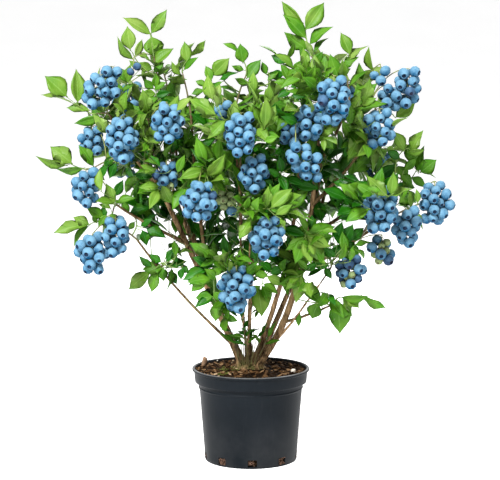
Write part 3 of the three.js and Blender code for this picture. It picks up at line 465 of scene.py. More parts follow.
class Twig:
    """A tapering twig through a row of points."""

    def __init__(self, course, radii, steps):
        self.points = [course(i / steps) for i in range(steps + 1)]
        self.radii = [radii[0] + (radii[1] - radii[0]) * i / steps for i in range(steps + 1)]
        pairs = zip(self.points, self.points[1:])
        self.length = sum((b - a).length for a, b in pairs)

    def place(self, u):
        last = len(self.points) - 1
        step = min(int(u * last), last - 1)
        start, end = self.points[step], self.points[step + 1]
        return start.lerp(end, u * last - step), (end - start).normalized()

    def nearest(self, target):
        """The place along the twig that is nearest to a point, its foot left out."""
        return min((self.place(0.2 + 0.04 * i)[0] for i in range(21)),
                   key=lambda place: (place - target).length)


def limb_course(foot, tip, bow, low, sway):
    """A limb's course, bowed outward and down, with a slow sway from side to side."""
    out = Vector((tip.x - foot.x, tip.y - foot.y, 0)).normalized()
    arc = bezier(foot, foot.lerp(tip, 0.5) + out * bow - UP * low, tip)
    aside = out.cross(UP)

    def course(u):
        swing = math.sin(math.pi * u) * math.sin(u * sway[1] + sway[2])
        return arc(u) + aside * (swing * sway[0]) + out * (0.6 * sway[0] * swing * math.cos(7 * u))

    return course


class Limb:
    def __init__(self, name, course, radii):
        self.name, self.course, self.radii = name, course, radii
        self.flare = FLARE[name.split("_")[0]]
        self.length = sum(
            (course((i + 1) / 20) - course(i / 20)).length for i in range(20)
        )

    def radius(self, u):
        foot, tip = self.radii
        return (foot + (tip - foot) * u) * (1 + self.flare * math.exp(-u * FLARE_FADE))

    def heading(self, u):
        step = 0.01
        return (self.course(min(u + step, 1)) - self.course(max(u - step, 0))).normalized()

    def strand(self, spacing):
        count = max(6, round(self.length / spacing))
        stops = [i / count for i in range(count + 1)]
        return [self.course(u) for u in stops], [self.radius(u) for u in stops]


def grow_limbs():
    draw = seeded(SEEDS.limbs)
    limbs = {}
    for name, (foot, tip, bow, low, radii) in CANES.items():
        sway = (draw(1.2, 2.6), draw(5, 10), draw(0, 6))
        limbs[name] = Limb(name, limb_course(Vector(foot), Vector(tip), bow, low, sway), radii)
    for name, (bearer, at, tip, bow, radii) in BOUGHS.items():
        sway = (draw(0.8, 2.0), draw(5, 10), draw(0, 6))
        foot = limbs[bearer].course(at)
        limbs[name] = Limb(name, limb_course(foot, Vector(tip), bow, 0, sway), radii)
    return limbs


def truss_row(x, y, z, berries, green=0, dusky=DUSKY_SHARE):
    return Vector((x, y, z)), berries, green, dusky


class Mass:
    """A mass of foliage: its stem, its leading tips and the seeds of its space."""

    def __init__(self, name, row, limbs):
        bearer, at, tips, trusses = row
        self.name, self.tips = name, [Vector(tip) for tip in tips]
        self.limb = limb = limbs[bearer]
        seat, heading = limb.course(at), limb.heading(at)
        self.sprigs = [sprig for owner, *sprig in SPRIGS if owner == name]
        depth, (x, z) = self.sprigs[0][:2] if self.sprigs else (0, (0, 0))
        first = Vector((x, depth, z)) if self.sprigs else self.tips[0]
        reach = (first - seat).length
        bend = STEM_BEND.end if at == 1 else STEM_BEND.fork
        knee = (seat + heading * (reach * bend)).lerp(
            seat.lerp(first, 0.5), STEM_BEND.straighten)
        end = first if self.sprigs else first + (knee - first).normalized() * LEAF_LENGTH
        course = bezier(seat, knee, end)
        foot = min(STEM_RADII[0], limb.radius(at))
        self.stem = Twig(course, (foot, STEM_RADII[1]), 10)
        self.trusses = [truss_row(*truss) for truss in trusses]
        self.seeds = [course(u) for u in (0, 0.2, 0.4, 0.6, 0.8, 1)]
        for tip in self.tips:
            self.seeds += [course(0.6).lerp(tip, 0.5), course(0.6).lerp(tip, 0.9)]
        self.seeds += [truss[0] for truss in self.trusses]


def tree_of(points):
    tree = KDTree(len(points))
    for index, point in enumerate(points):
        tree.insert(point, index)
    tree.balance()
    return tree


def push_apart(places, sizes, share=0.4):
    """Moves round things out of each other, a share of the way at a time."""
    apart = places[:, None] - places[None]
    distance = np.linalg.norm(apart, axis=2) + np.eye(len(places)) * 1e3
    overlap = np.clip((sizes[:, None] + sizes[None]) * 0.985 - distance, 0, None)
    return places + share * (apart / distance[..., None] * overlap[..., None]).sum(1)


class Bush:
    """Everything that grows on the limbs, kept as rows of places and sizes."""

    def __init__(self):
        self.limbs = grow_limbs()
        self.masses = [Mass(name, row, self.limbs) for name, row in MASSES.items()]
        owners = [(seed, i) for i, mass in enumerate(self.masses) for seed in mass.seeds]
        self.owner = [i for _, i in owners]
        self.space = tree_of([seed for seed, _ in owners])
        self.clearings = tree_of([Vector((x, 0, z)) for x, z, _ in CLEARINGS])
        beads = [
            (limb.course(i / 60), limb.radius(i / 60))
            for limb in self.limbs.values() for i in range(61)
        ]
        self.bead_radii = [radius for _, radius in beads]
        self.beads = tree_of([point for point, _ in beads])
        self.low = [cad_box[0][i] / MM - BOX_SLACK for i in range(3)]
        self.high = [cad_box[1][i] / MM + BOX_SLACK for i in range(3)]
        self.leaves, self.stems, self.shoots, self.stalks, self.berries = [], [], [], [], []
        self.leafy, self.blades = [], {}

    def inside(self, point):
        return all(low < p < high for low, p, high in zip(self.low, point, self.high))

    def keeps(self, point, index):
        """True where a point lies in a mass's own space, within its reach."""
        _, nearest, distance = self.space.find(point)
        return self.owner[nearest] == index and distance < REACH and self.inside(point)

    def clear_of_limbs(self, point, gap):
        _, nearest, distance = self.beads.find(point)
        return distance - self.bead_radii[nearest] > gap

    # -- fruit --

    def pack_truss(self, mass, centre, berries, green, dusky, draw):
        """The places of a truss's berries, packed round its hanging axis."""
        small = berries <= TRUSS.small
        count = berries if small else round(berries * TRUSS.fullness)
        height = TRUSS.height[0] + TRUSS.height[1] * berries
        belly = TRUSS.belly[0] + TRUSS.belly[1] * math.sqrt(berries)
        phase = draw(0, 2 * math.pi)
        places = []
        for k in range(count):
            down = (k + 0.5) / count
            turn = phase + k * GOLDEN_ANGLE
            out = belly * (0.55 + 0.6 * math.sin(math.pi * (0.15 + 0.7 * down)) - 0.3 * down)
            places.append((out * math.cos(turn), out * math.sin(turn), height * (0.5 - down)))
        sizes = [BERRY_RADIUS * draw(*BERRY_SIZES.all) for _ in range(count)]
        kinds = ["green" if draw() < green else ("dark" if draw() < dusky else "ripe")
                 for _ in range(count)]
        unripe = [kind == "green" or (small and kind == "dark") for kind in kinds]
        shrink = BERRY_SIZES.unripe
        sizes = [size * (shrink if hard else 1) for size, hard in zip(sizes, unripe)]
        places, sizes = np.array(places), np.array(sizes)
        for _ in range(TRUSS.rounds):
            places = push_apart(places, sizes) * TRUSS.pull
        places[:, 0] += LEANING_TRUSSES.get(tuple(centre), 0) * places[:, 2]
        return Truss(mass, centre, height, places + np.array(centre), sizes, kinds, draw)

    def part_trusses(self):
        """Moves berries out of those of other trusses and out of the limbs."""
        places = np.concatenate([truss.places for truss in self.trusses])
        sizes = np.concatenate([truss.sizes for truss in self.trusses])
        for _ in range(TRUSS.parting_rounds):
            places = push_apart(places, sizes)
            for i, place in enumerate(places):
                bead, nearest, distance = self.beads.find(place)
                short = sizes[i] + self.bead_radii[nearest] + TRUSS.limb_gap - distance
                if short > 0:
                    places[i] += (place - np.array(bead)) / max(distance, 0.1) * short
        ends = np.cumsum([len(truss.sizes) for truss in self.trusses])
        parts = np.split(places, ends[:-1])
        self.trusses = [truss._replace(places=part) for truss, part in zip(self.trusses, parts)]

    def hang_truss(self, truss):
        """A truss's stalks, and its berries with their crowned ends turned out."""
        draw = truss.draw
        hang = Vector((LEANING_TRUSSES.get(tuple(truss.centre), 0), 0, 1))
        top = truss.centre + hang * (truss.height / 2 + STALKS.above)
        bottom = truss.centre - hang * (truss.height / 2 - STALKS.short)
        near = min((truss.mass.stem.place(u)[0] for u in STALKS.joints),
                   key=lambda point: (point - top).length)
        rise = UP * (STALKS.rise * (near - top).length)
        knee = near.lerp(top, STALKS.bend) + rise - self.outward(top) * STALKS.behind
        self.stalks.append(Twig(bezier(near, knee, top), STALKS.bearer, 8))
        self.stalks.append(Twig(lambda u: top.lerp(bottom, u), STALKS.axis, 3))
        fall = max(top.z - bottom.z, 1)
        for place, size, kind in zip(truss.places, truss.sizes, truss.kinds):
            spot = Vector(place)
            down = min(max((top.z - spot.z - STALKS.drop) / fall, 0), 1)
            axis = top.lerp(bottom, down)
            face = (spot - axis).normalized() + self.outward(spot) * FRUIT_TURN.outward
            turn = scatter(draw, FRUIT_TURN.side, FRUIT_TURN.side)
            face = (face + Vector((*turn, draw(*FRUIT_TURN.up)))).normalized()
            stalk_end = spot - face * (size * STALKS.sink)
            knee = axis.lerp(stalk_end, 0.5) + UP * STALKS.arch
            self.stalks.append(Twig(bezier(axis, knee, stalk_end), STALKS.own, 4))
            self.berries.append(Berry(spot, face, size, draw(0, 2 * math.pi), kind))

    # -- shoots and leaves --

    def add_shoot(self, index, foot, tip, radii, steps=7, droop=6, leaf=LEAF_LENGTH):
        """A shoot from its foot to where its end leaf's tip stands, or None."""
        end = tip + (foot - tip).normalized() * leaf * END_LEAF
        knee = foot.lerp(end, 0.5) - UP * droop
        shoot = Twig(bezier(foot, knee, end), radii, steps)
        if index is not None and not all(self.keeps(p, index) for p in shoot.points[2:]):
            return None
        if not all(self.clear_of_limbs(p, 1.5) for p in shoot.points[3:]):
            return None
        self.shoots.append(shoot)
        self.leafy.append((index, shoot, shoot.length, 0))
        return shoot

    def grow_sprigs(self, index, mass, draw):
        """A mass's leading sprigs, leaf by leaf."""
        bearers = [mass.stem, Twig(mass.limb.course, (1, 1), 30)]
        for number, (depth, middle, end, leaves) in enumerate(mass.sprigs):
            middle, end = (Vector((x, depth, z)) for x, z in (middle, end))
            if number == 0:
                foot, heading = mass.stem.place(1)
                knee = foot + heading * (0.4 * (end - foot).length)
            else:
                foot = mass.stem.nearest(middle * 1.8 - end * 0.8)
                knee = middle * 2 - foot.lerp(end, 0.5)
            sprig = Twig(bezier(foot, knee, end), SPRIG_RADII, 8)
            self.shoots.append(sprig)
            bearers.append(sprig)
            for leaf in leaves:
                self.add_sprig_leaf(index, depth, leaf, bearers, draw)

    def add_sprig_leaf(self, index, depth, leaf, bearers, draw):
        """One leaf of a sprig, with a short stalk where its root stands off the wood."""
        x, z, tip_x, tip_z, edge, broad = leaf
        joint = min((twig.nearest(Vector((x, depth, z))) for twig in bearers),
                    key=lambda place: math.hypot(place.x - x, place.z - z))
        root = Vector((x, joint.y, z))
        reach = math.hypot(tip_x - x, tip_z - z)
        tip = Vector((tip_x, joint.y - reach * draw(-0.1, 0.35), tip_z))
        if (root - joint).length > 1.5:
            stalk = bezier(joint, joint.lerp(root, 0.5) - UP, root)
            self.shoots.append(Twig(stalk, LEAF_STALK_RADII, 3))
        length, direction = (tip - root).length, (tip - root).normalized()
        facing = squared(Vector((draw(-0.3, 0.3), -1, draw(0.1, 0.6))), direction)
        roll = edge / 100 * SPRIG_LEAF.edge_on * (1 if draw() < 0.5 else -1)
        across, normal = self.leaf_axes(direction, Quaternion(direction, roll) @ facing)
        tone = self.tone_at(index, tip, draw) - SPRIG_LEAF.deeper
        self.free_of_leaves(root + direction * (length * LEAF_STATIONS[1]), normal)
        self.leaves.append(Leaf(
            root - direction * (SPRIG_LEAF.back * length), direction, across, normal,
            length * SPRIG_LEAF.length, tone, draw(), broad / 100 * SPRIG_LEAF.breadth))

    def grow_shoots(self, index, mass, draw):
        self.stems.append(mass.stem)
        led = bool(mass.sprigs)
        self.leafy.append((index, mass.stem, STEM_LEAVES.reach, STEM_LEAVES.bare * led))
        if led:
            self.grow_sprigs(index, mass, draw)
        for i, tip in enumerate([] if led else mass.tips[1:]):
            foot, _ = mass.stem.place(TIP_SHOOTS.first + TIP_SHOOTS.step * i)
            if tip.z > TIP_SHOOTS.open_above or is_full(tip):
                self.add_shoot(index, foot, tip, SHOOT_RADII)
        grown = []
        for i in range(SIDE_SHOOTS.tries):
            if len(grown) >= (SIDE_SHOOTS.led if led else SIDE_SHOOTS.count):
                break
            foot, heading = mass.stem.place(draw(*SIDE_SHOOTS.along))
            out = sideways(heading, i * GOLDEN_ANGLE + draw(0, 1))
            lean = draw(*SIDE_SHOOTS.lean)
            reach = draw(*SIDE_SHOOTS.length) + LEAF_LENGTH * SIDE_SHOOTS.leaf
            course = heading * math.cos(lean) + out * math.sin(lean) + UP * SIDE_SHOOTS.rise
            tip = foot + course.normalized() * reach
            shoot = self.add_shoot(index, foot, tip, SHOOT_RADII) if is_full(tip) else None
            if shoot:
                grown.append(shoot)
        for shoot in grown:
            for _ in range(SPURS.count):
                self.grow_spur(index, shoot, draw)

    def grow_spur(self, index, shoot, draw):
        foot, heading = shoot.place(draw(*SPURS.along))
        out = sideways(heading, draw(0, 2 * math.pi))
        course = heading * SPURS.ahead + out * SPURS.aside + UP * SPURS.rise
        reach = draw(*SPURS.length) + LEAF_LENGTH * SPURS.leaf
        self.add_shoot(index, foot, foot + course.normalized() * reach, SPUR_RADII, 4, 3,
                       LEAF_LENGTH * SPURS.end_leaf)

    def grow_inner_twigs(self, limb, draw):
        """Leafy twigs straight off a limb, in the crown's full middle."""
        count = int(limb.length / INNER_TWIGS.spacing)
        for i in range(count):
            u = (i + draw()) / count
            foot, heading = limb.course(u), limb.heading(u)
            if foot.z < INNER_TWIGS.lowest:
                continue
            out = sideways(heading, i * GOLDEN_ANGLE + draw(0, 2))
            out = out + heading * draw(*INNER_TWIGS.ahead) + UP * INNER_TWIGS.rise
            if foot.z < INNER_TWIGS.behind:
                out.y = abs(out.y)
            reach = draw(*INNER_TWIGS.length) + LEAF_LENGTH * INNER_TWIGS.leaf
            tip = foot + out.normalized() * reach
            _, _, distance = self.space.find(tip)
            if is_full(tip) and self.inside(tip) and distance < INNER_TWIGS.reach:
                self.add_shoot(None, foot, tip, SHOOT_RADII)

    def free_of_fruit(self, spine):
        """True where no point touches a berry or stands right before one."""
        for point in spine:
            seen = Vector((point.x, 0, point.z))
            for _, i, _ in self.front_fruit.find_range(seen, FRUIT_SIGHT.front):
                if point.y < self.berries[i].spot.y < 0:
                    return False
            for spot, i, distance in self.fruit.find_range(point, FRUIT_SIGHT.near):
                size = self.berries[i].size
                front = (point.y - spot.y) * (1 if spot.y > FRUIT_SIGHT.back_from else -1)
                beside = math.hypot(point.x - spot.x, point.z - spot.z)
                covers = front > 0 and beside < size * FRUIT_SIGHT.covered
                if distance < size + LEAF_CLEAR.berry or covers:
                    return False
        return True

    def free_of_leaves(self, middle, normal):
        """True where no other leaf is too near; the place is then taken."""
        cell = [int(c // LEAF_CELL) for c in middle]
        for step in product((-1, 0, 1), repeat=3):
            beside = tuple(c + s for c, s in zip(cell, step))
            for other, facing in self.blades.get(beside, ()):
                gap = middle - other
                layered = (gap.length < LEAF_GAP * LEAF_LAYER.gap
                           and abs(gap.dot(facing)) < LEAF_LAYER.thick)
                if gap.length < LEAF_GAP or layered:
                    return False
        self.blades.setdefault(tuple(cell), []).append((middle, normal))
        return True

    @staticmethod
    def leaf_axes(direction, upper):
        across = direction.cross(upper).normalized()
        return across, across.cross(direction)

    def add_leaf(self, index, root, direction, upper, length, tone, draw, broad=1.0):
        """A leaf where its way is clear and its mass's own space goes on; True if it grew."""
        across, normal = self.leaf_axes(direction, upper)
        spine = [root + direction * (length * u) for u in LEAF_STATIONS]
        middle, tip = spine[1], spine[-1]
        if index is not None and not (self.keeps(middle, index) and self.keeps(tip, index)):
            return False
        if not all(self.inside(p) for p in spine) or tip.z < SOIL_TOP + LEAF_CLEAR.soil:
            return False
        if not all(self.clear_of_limbs(p, LEAF_CLEAR.limb) for p in spine[1:]):
            return False
        edges = [middle + across * (length * side) for side in LEAF_EDGES]
        if any(in_clearing(self.clearings, p) for p in spine + edges):
            return False
        if not self.free_of_fruit(spine + edges) or not self.free_of_leaves(middle, normal):
            return False
        self.leaves.append(Leaf(root, direction, across, normal, length, tone, draw(), broad))
        return True

    @staticmethod
    def outward(point):
        return Vector((point.x * LIGHT.wide, point.y - LIGHT.middle, 0)).normalized()

    def light_at(self, point):
        return self.outward(point) * LIGHT.out + UP * LIGHT.up

    def leads(self, index, end):
        """True where a twig ends at one of its mass's leading tips."""
        tips = [] if index is None else self.masses[index].tips
        return any((end - tip).length < LEAF_LENGTH for tip in tips)

    def tone_at(self, index, end, draw):
        """A leaf's tone: painted shade deep inside the crown; fresher towards its outside and its
        top, as young growth and as painted light; less by its mass's painted shade.
        """
        deeper = 0 if index is None else MASS_SHADE.get(self.masses[index].name, 0)
        height = (end.z - CROWN_BODY.foot) / CROWN_BODY.height
        shares = [(e - m) / h for e, m, h in zip(end, CROWN_BODY.middle, CROWN_BODY.half)]
        out = FRESH_AND_LIT.out * (Vector(shares).length - FRESH_AND_LIT.middle)
        return out + FRESH_AND_LIT.high * height + draw(0, FRESH_AND_LIT.chance) - deeper

    def dress(self, index, twig, leafy, bare, draw):
        """Leaves along a twig's outer stretch and at its end, smaller towards the tip."""
        end, heading = twig.place(1)
        tone = self.tone_at(index, end, draw)
        lift = LEAF_LIFT.high if end.z > LEAF_LIFT.above else LEAF_LIFT.low
        tries, airy = (4, 1.4) if self.leads(index, end) else (1, 1)
        least, long = LEAF_SHARE.twig
        vigour = min(1, least + twig.length / long)
        size = LEAF_LENGTH * draw(*LEAF_SHARE.end) * vigour
        for stray in range(0 if bare else tries):
            aim = (heading + scatter(draw, 1, 1, 1) * (0.22 * stray)).normalized()
            upper = squared(self.light_at(end) + scatter(draw, 0.4, 0.4, 0.3), aim)
            if self.add_leaf(index, end - heading, aim, upper, size, tone + 0.1, draw):
                break
        turn = draw(0, 2 * math.pi)
        run = twig.length - bare - draw(2, 4)
        near_end = ROSETTE.leaves if bare else 0
        small, step = LEAF_SHARE.rosette
        while run > max(twig.length - leafy, 7):
            point, heading = twig.place(run / twig.length)
            shaded = point.z < THIN.below and point.y > THIN.behind
            thinned = shaded and draw() < THIN.share
            grown = min(1, small + step * near_end) * draw(*LEAF_SHARE.side)
            length = LEAF_LENGTH * grown * vigour
            for _ in range(0 if thinned else (tries + 1) // 2):
                turn += GOLDEN_ANGLE
                more = min(near_end * LEAF_LEAN.more, LEAF_LEAN.most)
                lean = draw(*LEAF_LEAN.out) + more
                direction = heading * math.cos(lean) + sideways(heading, turn) * math.sin(lean)
                direction = (direction + UP * lift).normalized()
                upper = heading * 0.5 + self.light_at(point)
                upper += scatter(draw, 0.75, 0.75, 0.5)
                shade = tone + draw(-0.12, 0.12)
                if self.add_leaf(index, point, direction, upper, length, shade, draw):
                    break
            near_end += 1
            spacing = draw(*(ROSETTE.spacing if near_end < ROSETTE.leaves else LEAF_SPACING))
            run -= spacing * airy

    def grow(self):
        draws = [seeded(SEEDS.masses + SEEDS.mass_step * i)
                 for i in range(len(self.masses))]
        self.trusses = [
            self.pack_truss(mass, *truss, draw)
            for mass, draw in zip(self.masses, draws) for truss in mass.trusses
        ]
        self.part_trusses()
        for truss in self.trusses:
            self.hang_truss(truss)
        self.fruit = tree_of([berry.spot for berry in self.berries])
        self.front_fruit = tree_of([Vector((b.spot.x, 0, b.spot.z)) for b in self.berries])
        for index, (mass, draw) in enumerate(zip(self.masses, draws)):
            self.grow_shoots(index, mass, draw)
        draw = seeded(SEEDS.inner)
        for limb in self.limbs.values():
            self.grow_inner_twigs(limb, draw)
        self.leafy.sort(key=lambda row: not self.leads(row[0], row[1].points[-1]))
        for index, twig, leafy, bare in self.leafy:
            self.dress(index, twig, leafy, bare, draw if index is None else draws[index])
        for row in SUCKERS:
            sucker = self.add_shoot(None, Vector(row[:3]), Vector(row[3:]), SUCKER.radii, 6, 3,
                                    SUCKER.end_leaf)
            if sucker:
                self.stems.append(self.shoots.pop())
                self.dress_sucker(sucker, draw)

    def dress_sucker(self, twig, draw):
        """Small narrow leaves up a sucker, its foot left bare."""
        turn = draw(0, 6)
        for u in SUCKER.leaves:
            point, heading = twig.place(u)
            turn += GOLDEN_ANGLE
            lean = SUCKER.lean if u < 1 else SUCKER.end_lean
            direction = (heading + sideways(heading, turn) * lean).normalized()
            upper = heading * 0.5 + self.light_at(point)
            length, tone = draw(*SUCKER.length), draw(*SUCKER.tone)
            if point.z > SOIL_TOP + SUCKER.bare:
                self.add_leaf(None, point, direction, upper, length, tone, draw, SUCKER.broad)


# ---- nodes, for shapes and for finishes ----

def socket_of(sockets, key):
    if isinstance(key, int):
        return sockets[key]
    return next(s for s in sockets if s.name == key and s.enabled)


def add_node(tree, kind, sockets=None, **settings):
    """A node with its settings made first, then the values or links of its sockets."""
    node = tree.nodes.new(kind)
    for key, value in settings.items():
        setattr(node, key, value)
    for key, value in (sockets or {}).items():
        for item in value if isinstance(value, list) else [value]:
            item = getattr(item, "socket", item)
            if isinstance(item, bpy.types.NodeSocket):
                tree.links.new(item, socket_of(node.inputs, key))
            else:
                socket_of(node.inputs, key).default_value = item
    return node


class Wire:
    """A number in a material; arithmetic on it adds Math nodes."""

    def __init__(self, tree, socket):
        self.tree, self.socket = tree, socket

    def math(self, operation, *others, clamp=False):
        values = dict(enumerate((self, *others)))
        node = add_node(self.tree, "ShaderNodeMath", values, operation=operation, use_clamp=clamp)
        return Wire(self.tree, node.outputs[0])

    __add__ = __radd__ = partialmethod(math, "ADD")
    __sub__ = partialmethod(math, "SUBTRACT")
    __mul__ = partialmethod(math, "MULTIPLY")
    __gt__ = partialmethod(math, "GREATER_THAN")
    __abs__ = partialmethod(math, "ABSOLUTE")

    def __rsub__(self, other):
        return self * -1 + other

    def clamped(self):
        return self.math("ADD", 0.0, clamp=True)


class Finish:
    """A material under construction: its own shader, and the patterns that feed it."""

    def __init__(self, name, **uniform):
        self.material = bpy.data.materials.new(name)
        self.material.use_nodes = True
        self.tree = self.material.node_tree
        self.shader = self.tree.nodes["Principled BSDF"]
        for key, value in uniform.items():
            self.shader.inputs[key.replace("_", " ")].default_value = value

    def add(self, kind, sockets=None, **settings):
        return add_node(self.tree, kind, sockets, **settings)

    def place(self, scale=(1, 1, 1)):
        """Object coordinates, stretched."""
        coordinates = self.add("ShaderNodeTexCoord").outputs["Object"]
        return self.add("ShaderNodeMapping", {"Vector": coordinates, "Scale": scale}).outputs[0]

    def noise(self, scale, detail=3, rough=0.55, distortion=0.0, stretch=(1, 1, 1)):
        node = self.add("ShaderNodeTexNoise", {
            "Vector": self.place(stretch), "Scale": scale, "Detail": detail, "Roughness": rough,
            "Distortion": distortion})
        return Wire(self.tree, node.outputs[0])

    def cells(self, scale):
        node = self.add("ShaderNodeTexVoronoi", {"Vector": self.place(), "Scale": scale})
        return Wire(self.tree, node.outputs["Distance"])

    def part_of(self, vector, axis):
        node = self.add("ShaderNodeSeparateXYZ", {0: vector})
        return Wire(self.tree, node.outputs[axis])

    def surface_map(self):
        """The piece's own map: across, and along."""
        node = self.add("ShaderNodeUVMap", uv_map="blade")
        return self.part_of(node.outputs[0], 0), self.part_of(node.outputs[0], 1)

    def facing(self, axis):
        """How far the surface faces along an axis."""
        return self.part_of(self.add("ShaderNodeNewGeometry").outputs["Normal"], axis)

    def height(self):
        return self.part_of(self.place(), 2)

    def blend(self, mask, first, second):
        node = self.add("ShaderNodeMix", {
            "Factor": mask,
            "A": (*first, 1) if isinstance(first, tuple) else first,
            "B": (*second, 1) if isinstance(second, tuple) else second,
        }, data_type="RGBA", clamp_factor=True)
        return node.outputs[2]

    def relief(self, height, depth, strength):
        return self.add("ShaderNodeBump", {
            "Height": height, "Distance": depth, "Strength": strength}).outputs[0]

    def wear(self, **links):
        """Links patterns to the shader's sockets and hands over the material."""
        for key, value in links.items():
            value = getattr(value, "socket", value)
            self.tree.links.new(value, self.shader.inputs[key.replace("_", " ")])
        return self.material


def spread(mask, low, high):
    """Stretches the middle of a pattern to its full range."""
    return ((mask - low) * (1 / (high - low))).clamped()


def leaf_finish(name, lit, deep, under):
    finish = Finish(name, Specular_IOR_Level=0.12)
    across, along = finish.surface_map()
    is_under = across > 1.5
    side = abs(across - 0.5 - is_under * 2)
    midrib = spread(1 - side * 28, 0.0, 0.6)
    slant = (along * 11 - side * 7).math("FRACT")
    veins = spread(1 - abs(slant - 0.5) * 9, 0.0, 1.0) * spread(1 - side * 2.3, 0.0, 0.4)
    patches = spread(finish.noise(42, 2), 0.35, 0.68)
    colour = finish.blend(patches, deep, lit)
    colour = finish.blend(veins * 0.1, colour, tuple(min(1, c * 1.6 + 0.03) for c in lit))
    colour = finish.blend(midrib * 0.26, colour, tuple(min(1, c * 1.7 + 0.05) for c in lit))
    colour = finish.blend(is_under * 0.75, colour, under)
    return finish.wear(Base_Color=colour, Roughness=finish.noise(160, 2) * 0.2 + 0.32,
                       Normal=finish.relief(1 - midrib * 0.7 - veins * 0.4, 0.0004, 0.5))


def berry_finish(name, bloom, skin, rubbed=0.5):
    finish = Finish(name, Specular_IOR_Level=0.04)
    broad = finish.noise(95, 3, 0.6)
    fine = finish.noise(620, 2, 0.6)
    # Real bloom in noise patches, plus painted light and shade: the upper side paler, the
    # underside darker.
    mask = broad * 0.75 + fine * 0.25 + finish.facing(2) * 0.17
    mask = spread(mask, rubbed - 0.18, rubbed + 0.17)
    return finish.wear(Base_Color=finish.blend(mask, skin, bloom), Roughness=mask * 0.22 + 0.38,
                       Normal=finish.relief(fine, 0.00012, 0.35))


def calyx_finish(name, rim, pit):
    finish = Finish(name, Specular_IOR_Level=0.08)
    mask = spread(finish.noise(380, 3), 0.35, 0.65)
    return finish.wear(Base_Color=finish.blend(mask, pit, rim), Roughness=0.88 - mask * 0.16,
                       Normal=finish.relief(mask, 0.0003, 0.6))


def bark_finish(name, pale, dark, grey, streak=0.16):
    """Flaking bark, greyed in clouds, with painted shade on its right, and mossy at its foot."""
    finish = Finish(name, Specular_IOR_Level=0.08)
    fibres = finish.noise(420, 5, 0.68, 0.4, (1, 1, streak))
    flakes = finish.noise(130, 4, 0.6, 1.2, (1, 1, streak))
    cloud = finish.noise(24, 3)
    mask = spread(fibres * 0.5 + flakes * 0.5, 0.42, 0.62)
    colour = finish.blend(mask, dark, pale)
    colour = finish.blend(spread(cloud, 0.5, 0.72) * 0.65, colour, grey)
    # Painted shade: darker on the side facing +x, its right.
    colour = finish.blend(spread(finish.facing(0), -0.1, 0.9) * 0.6, colour, dark)
    foot = spread(0.172 - finish.height(), 0.0, 0.03)
    damp = foot * spread(finish.noise(46, 3), 0.46, 0.6)
    colour = finish.blend(damp * 0.75, colour, (0.032, 0.042, 0.009))
    return finish.wear(Base_Color=colour, Roughness=0.9 - mask * 0.18,
                       Normal=finish.relief(fibres * 0.5 + flakes * 0.7, 0.0012, 0.8))


def stalk_finish(name, lit, deep):
    finish = Finish(name, Specular_IOR_Level=0.35)
    mask = spread(finish.noise(130, 3, stretch=(1, 1, 0.4)), 0.38, 0.64)
    return finish.wear(Base_Color=finish.blend(mask, deep, lit), Roughness=0.62 - mask * 0.2,
                       Normal=finish.relief(mask, 0.0002, 0.4))


def pot_finish():
    """Black moulded plastic: scuffed and dusty at its foot, with its lip, and its lip's edge more,
    painted pale as a highlight.
    """
    finish = Finish("pot_moulded_plastic", Specular_IOR_Level=0.055)
    grain = finish.noise(1500, 2)
    cloud = finish.noise(18, 4, 0.6)
    scuffs = spread(finish.noise(260, 4, 0.7, stretch=(1, 1, 0.07)), 0.56, 0.74)
    specks = spread(0.11 - finish.cells(210), 0.0, 0.06)
    foot = spread(0.075 - finish.height(), 0.0, 0.07)
    # Painted highlight along the rolled rim: the lip paler, and its edge paler still.
    lip = spread(finish.height(), 0.1333, 0.1349)
    edge = spread(finish.height(), 0.1341, 0.135) * spread(cloud, 0.3, 0.6)
    # Dust at the foot, scuffs and specks, and the lip's painted highlight.
    dust_and_lip_highlight = foot * spread(cloud, 0.35, 0.7) * 0.14 + scuffs * 0.035 + specks * 0.04 + lip * 0.4
    dust_and_lip_highlight = dust_and_lip_highlight.clamped()
    colour = finish.blend(spread(cloud, 0.3, 0.75),
                          (0.0026, 0.0041, 0.0056), (0.0046, 0.0064, 0.0086))
    colour = finish.blend(dust_and_lip_highlight, colour, (0.075, 0.072, 0.068))
    colour = finish.blend(edge * 0.7, colour, (0.17, 0.175, 0.18))
    return finish.wear(Base_Color=colour, Roughness=0.4 + cloud * 0.14 + dust_and_lip_highlight * 0.4,
                       Normal=finish.relief(grain * 0.4 + scuffs, 0.00012, 0.45))


def compost_finish():
    finish = Finish("compost", Specular_IOR_Level=0.03)
    crumbs = finish.noise(320, 5, 0.7)
    clods = finish.cells(260)
    mask = spread(crumbs, 0.45, 0.75)
    colour = finish.blend(mask, (0.003, 0.0016, 0.0006), (0.032, 0.017, 0.007))
    colour = finish.blend(spread(0.1 - clods, 0.0, 0.05), colour, (0.12, 0.08, 0.045))
    return finish.wear(Base_Color=colour, Roughness=0.8 + crumbs * 0.25,
                       Normal=finish.relief(crumbs + clods * 0.5, 0.003, 0.9))


def chip_finish(name, lit, deep):
    finish = Finish(name, Specular_IOR_Level=0.05)
    fibres = finish.noise(520, 4, 0.65, 0.8, (1, 0.5, 1))
    blotch = finish.noise(90, 2)
    mask = spread(fibres * 0.55 + blotch * 0.45, 0.36, 0.64)
    return finish.wear(Base_Color=finish.blend(mask, deep, lit), Roughness=0.72 + fibres * 0.25,
                       Normal=finish.relief(fibres, 0.0007, 0.8))


# ---- shapes ----

def new_object(name, mesh):
    piece = bpy.data.objects.new(name, mesh)
    bpy.context.scene.collection.objects.link(piece)
    return piece


def remove_all(pieces):
    for piece in pieces:
        bpy.data.objects.remove(piece)


def smooth_all(mesh):
    for face in mesh.polygons:
        face.use_smooth = True


def mesh_from(name, verts, faces, edges=()):
    mesh = bpy.data.meshes.new(name)
    mesh.from_pydata([tuple(v) for v in verts], list(edges), faces)
    mesh.update()
    return mesh


def store(mesh, name, kind, domain, values):
    """Keeps one value for each point or face in a named attribute."""
    layer = mesh.attributes.new(name, kind, domain)
    field = "vector" if kind == "FLOAT_VECTOR" else "value"
    layer.data.foreach_set(field, np.array(values).ravel())


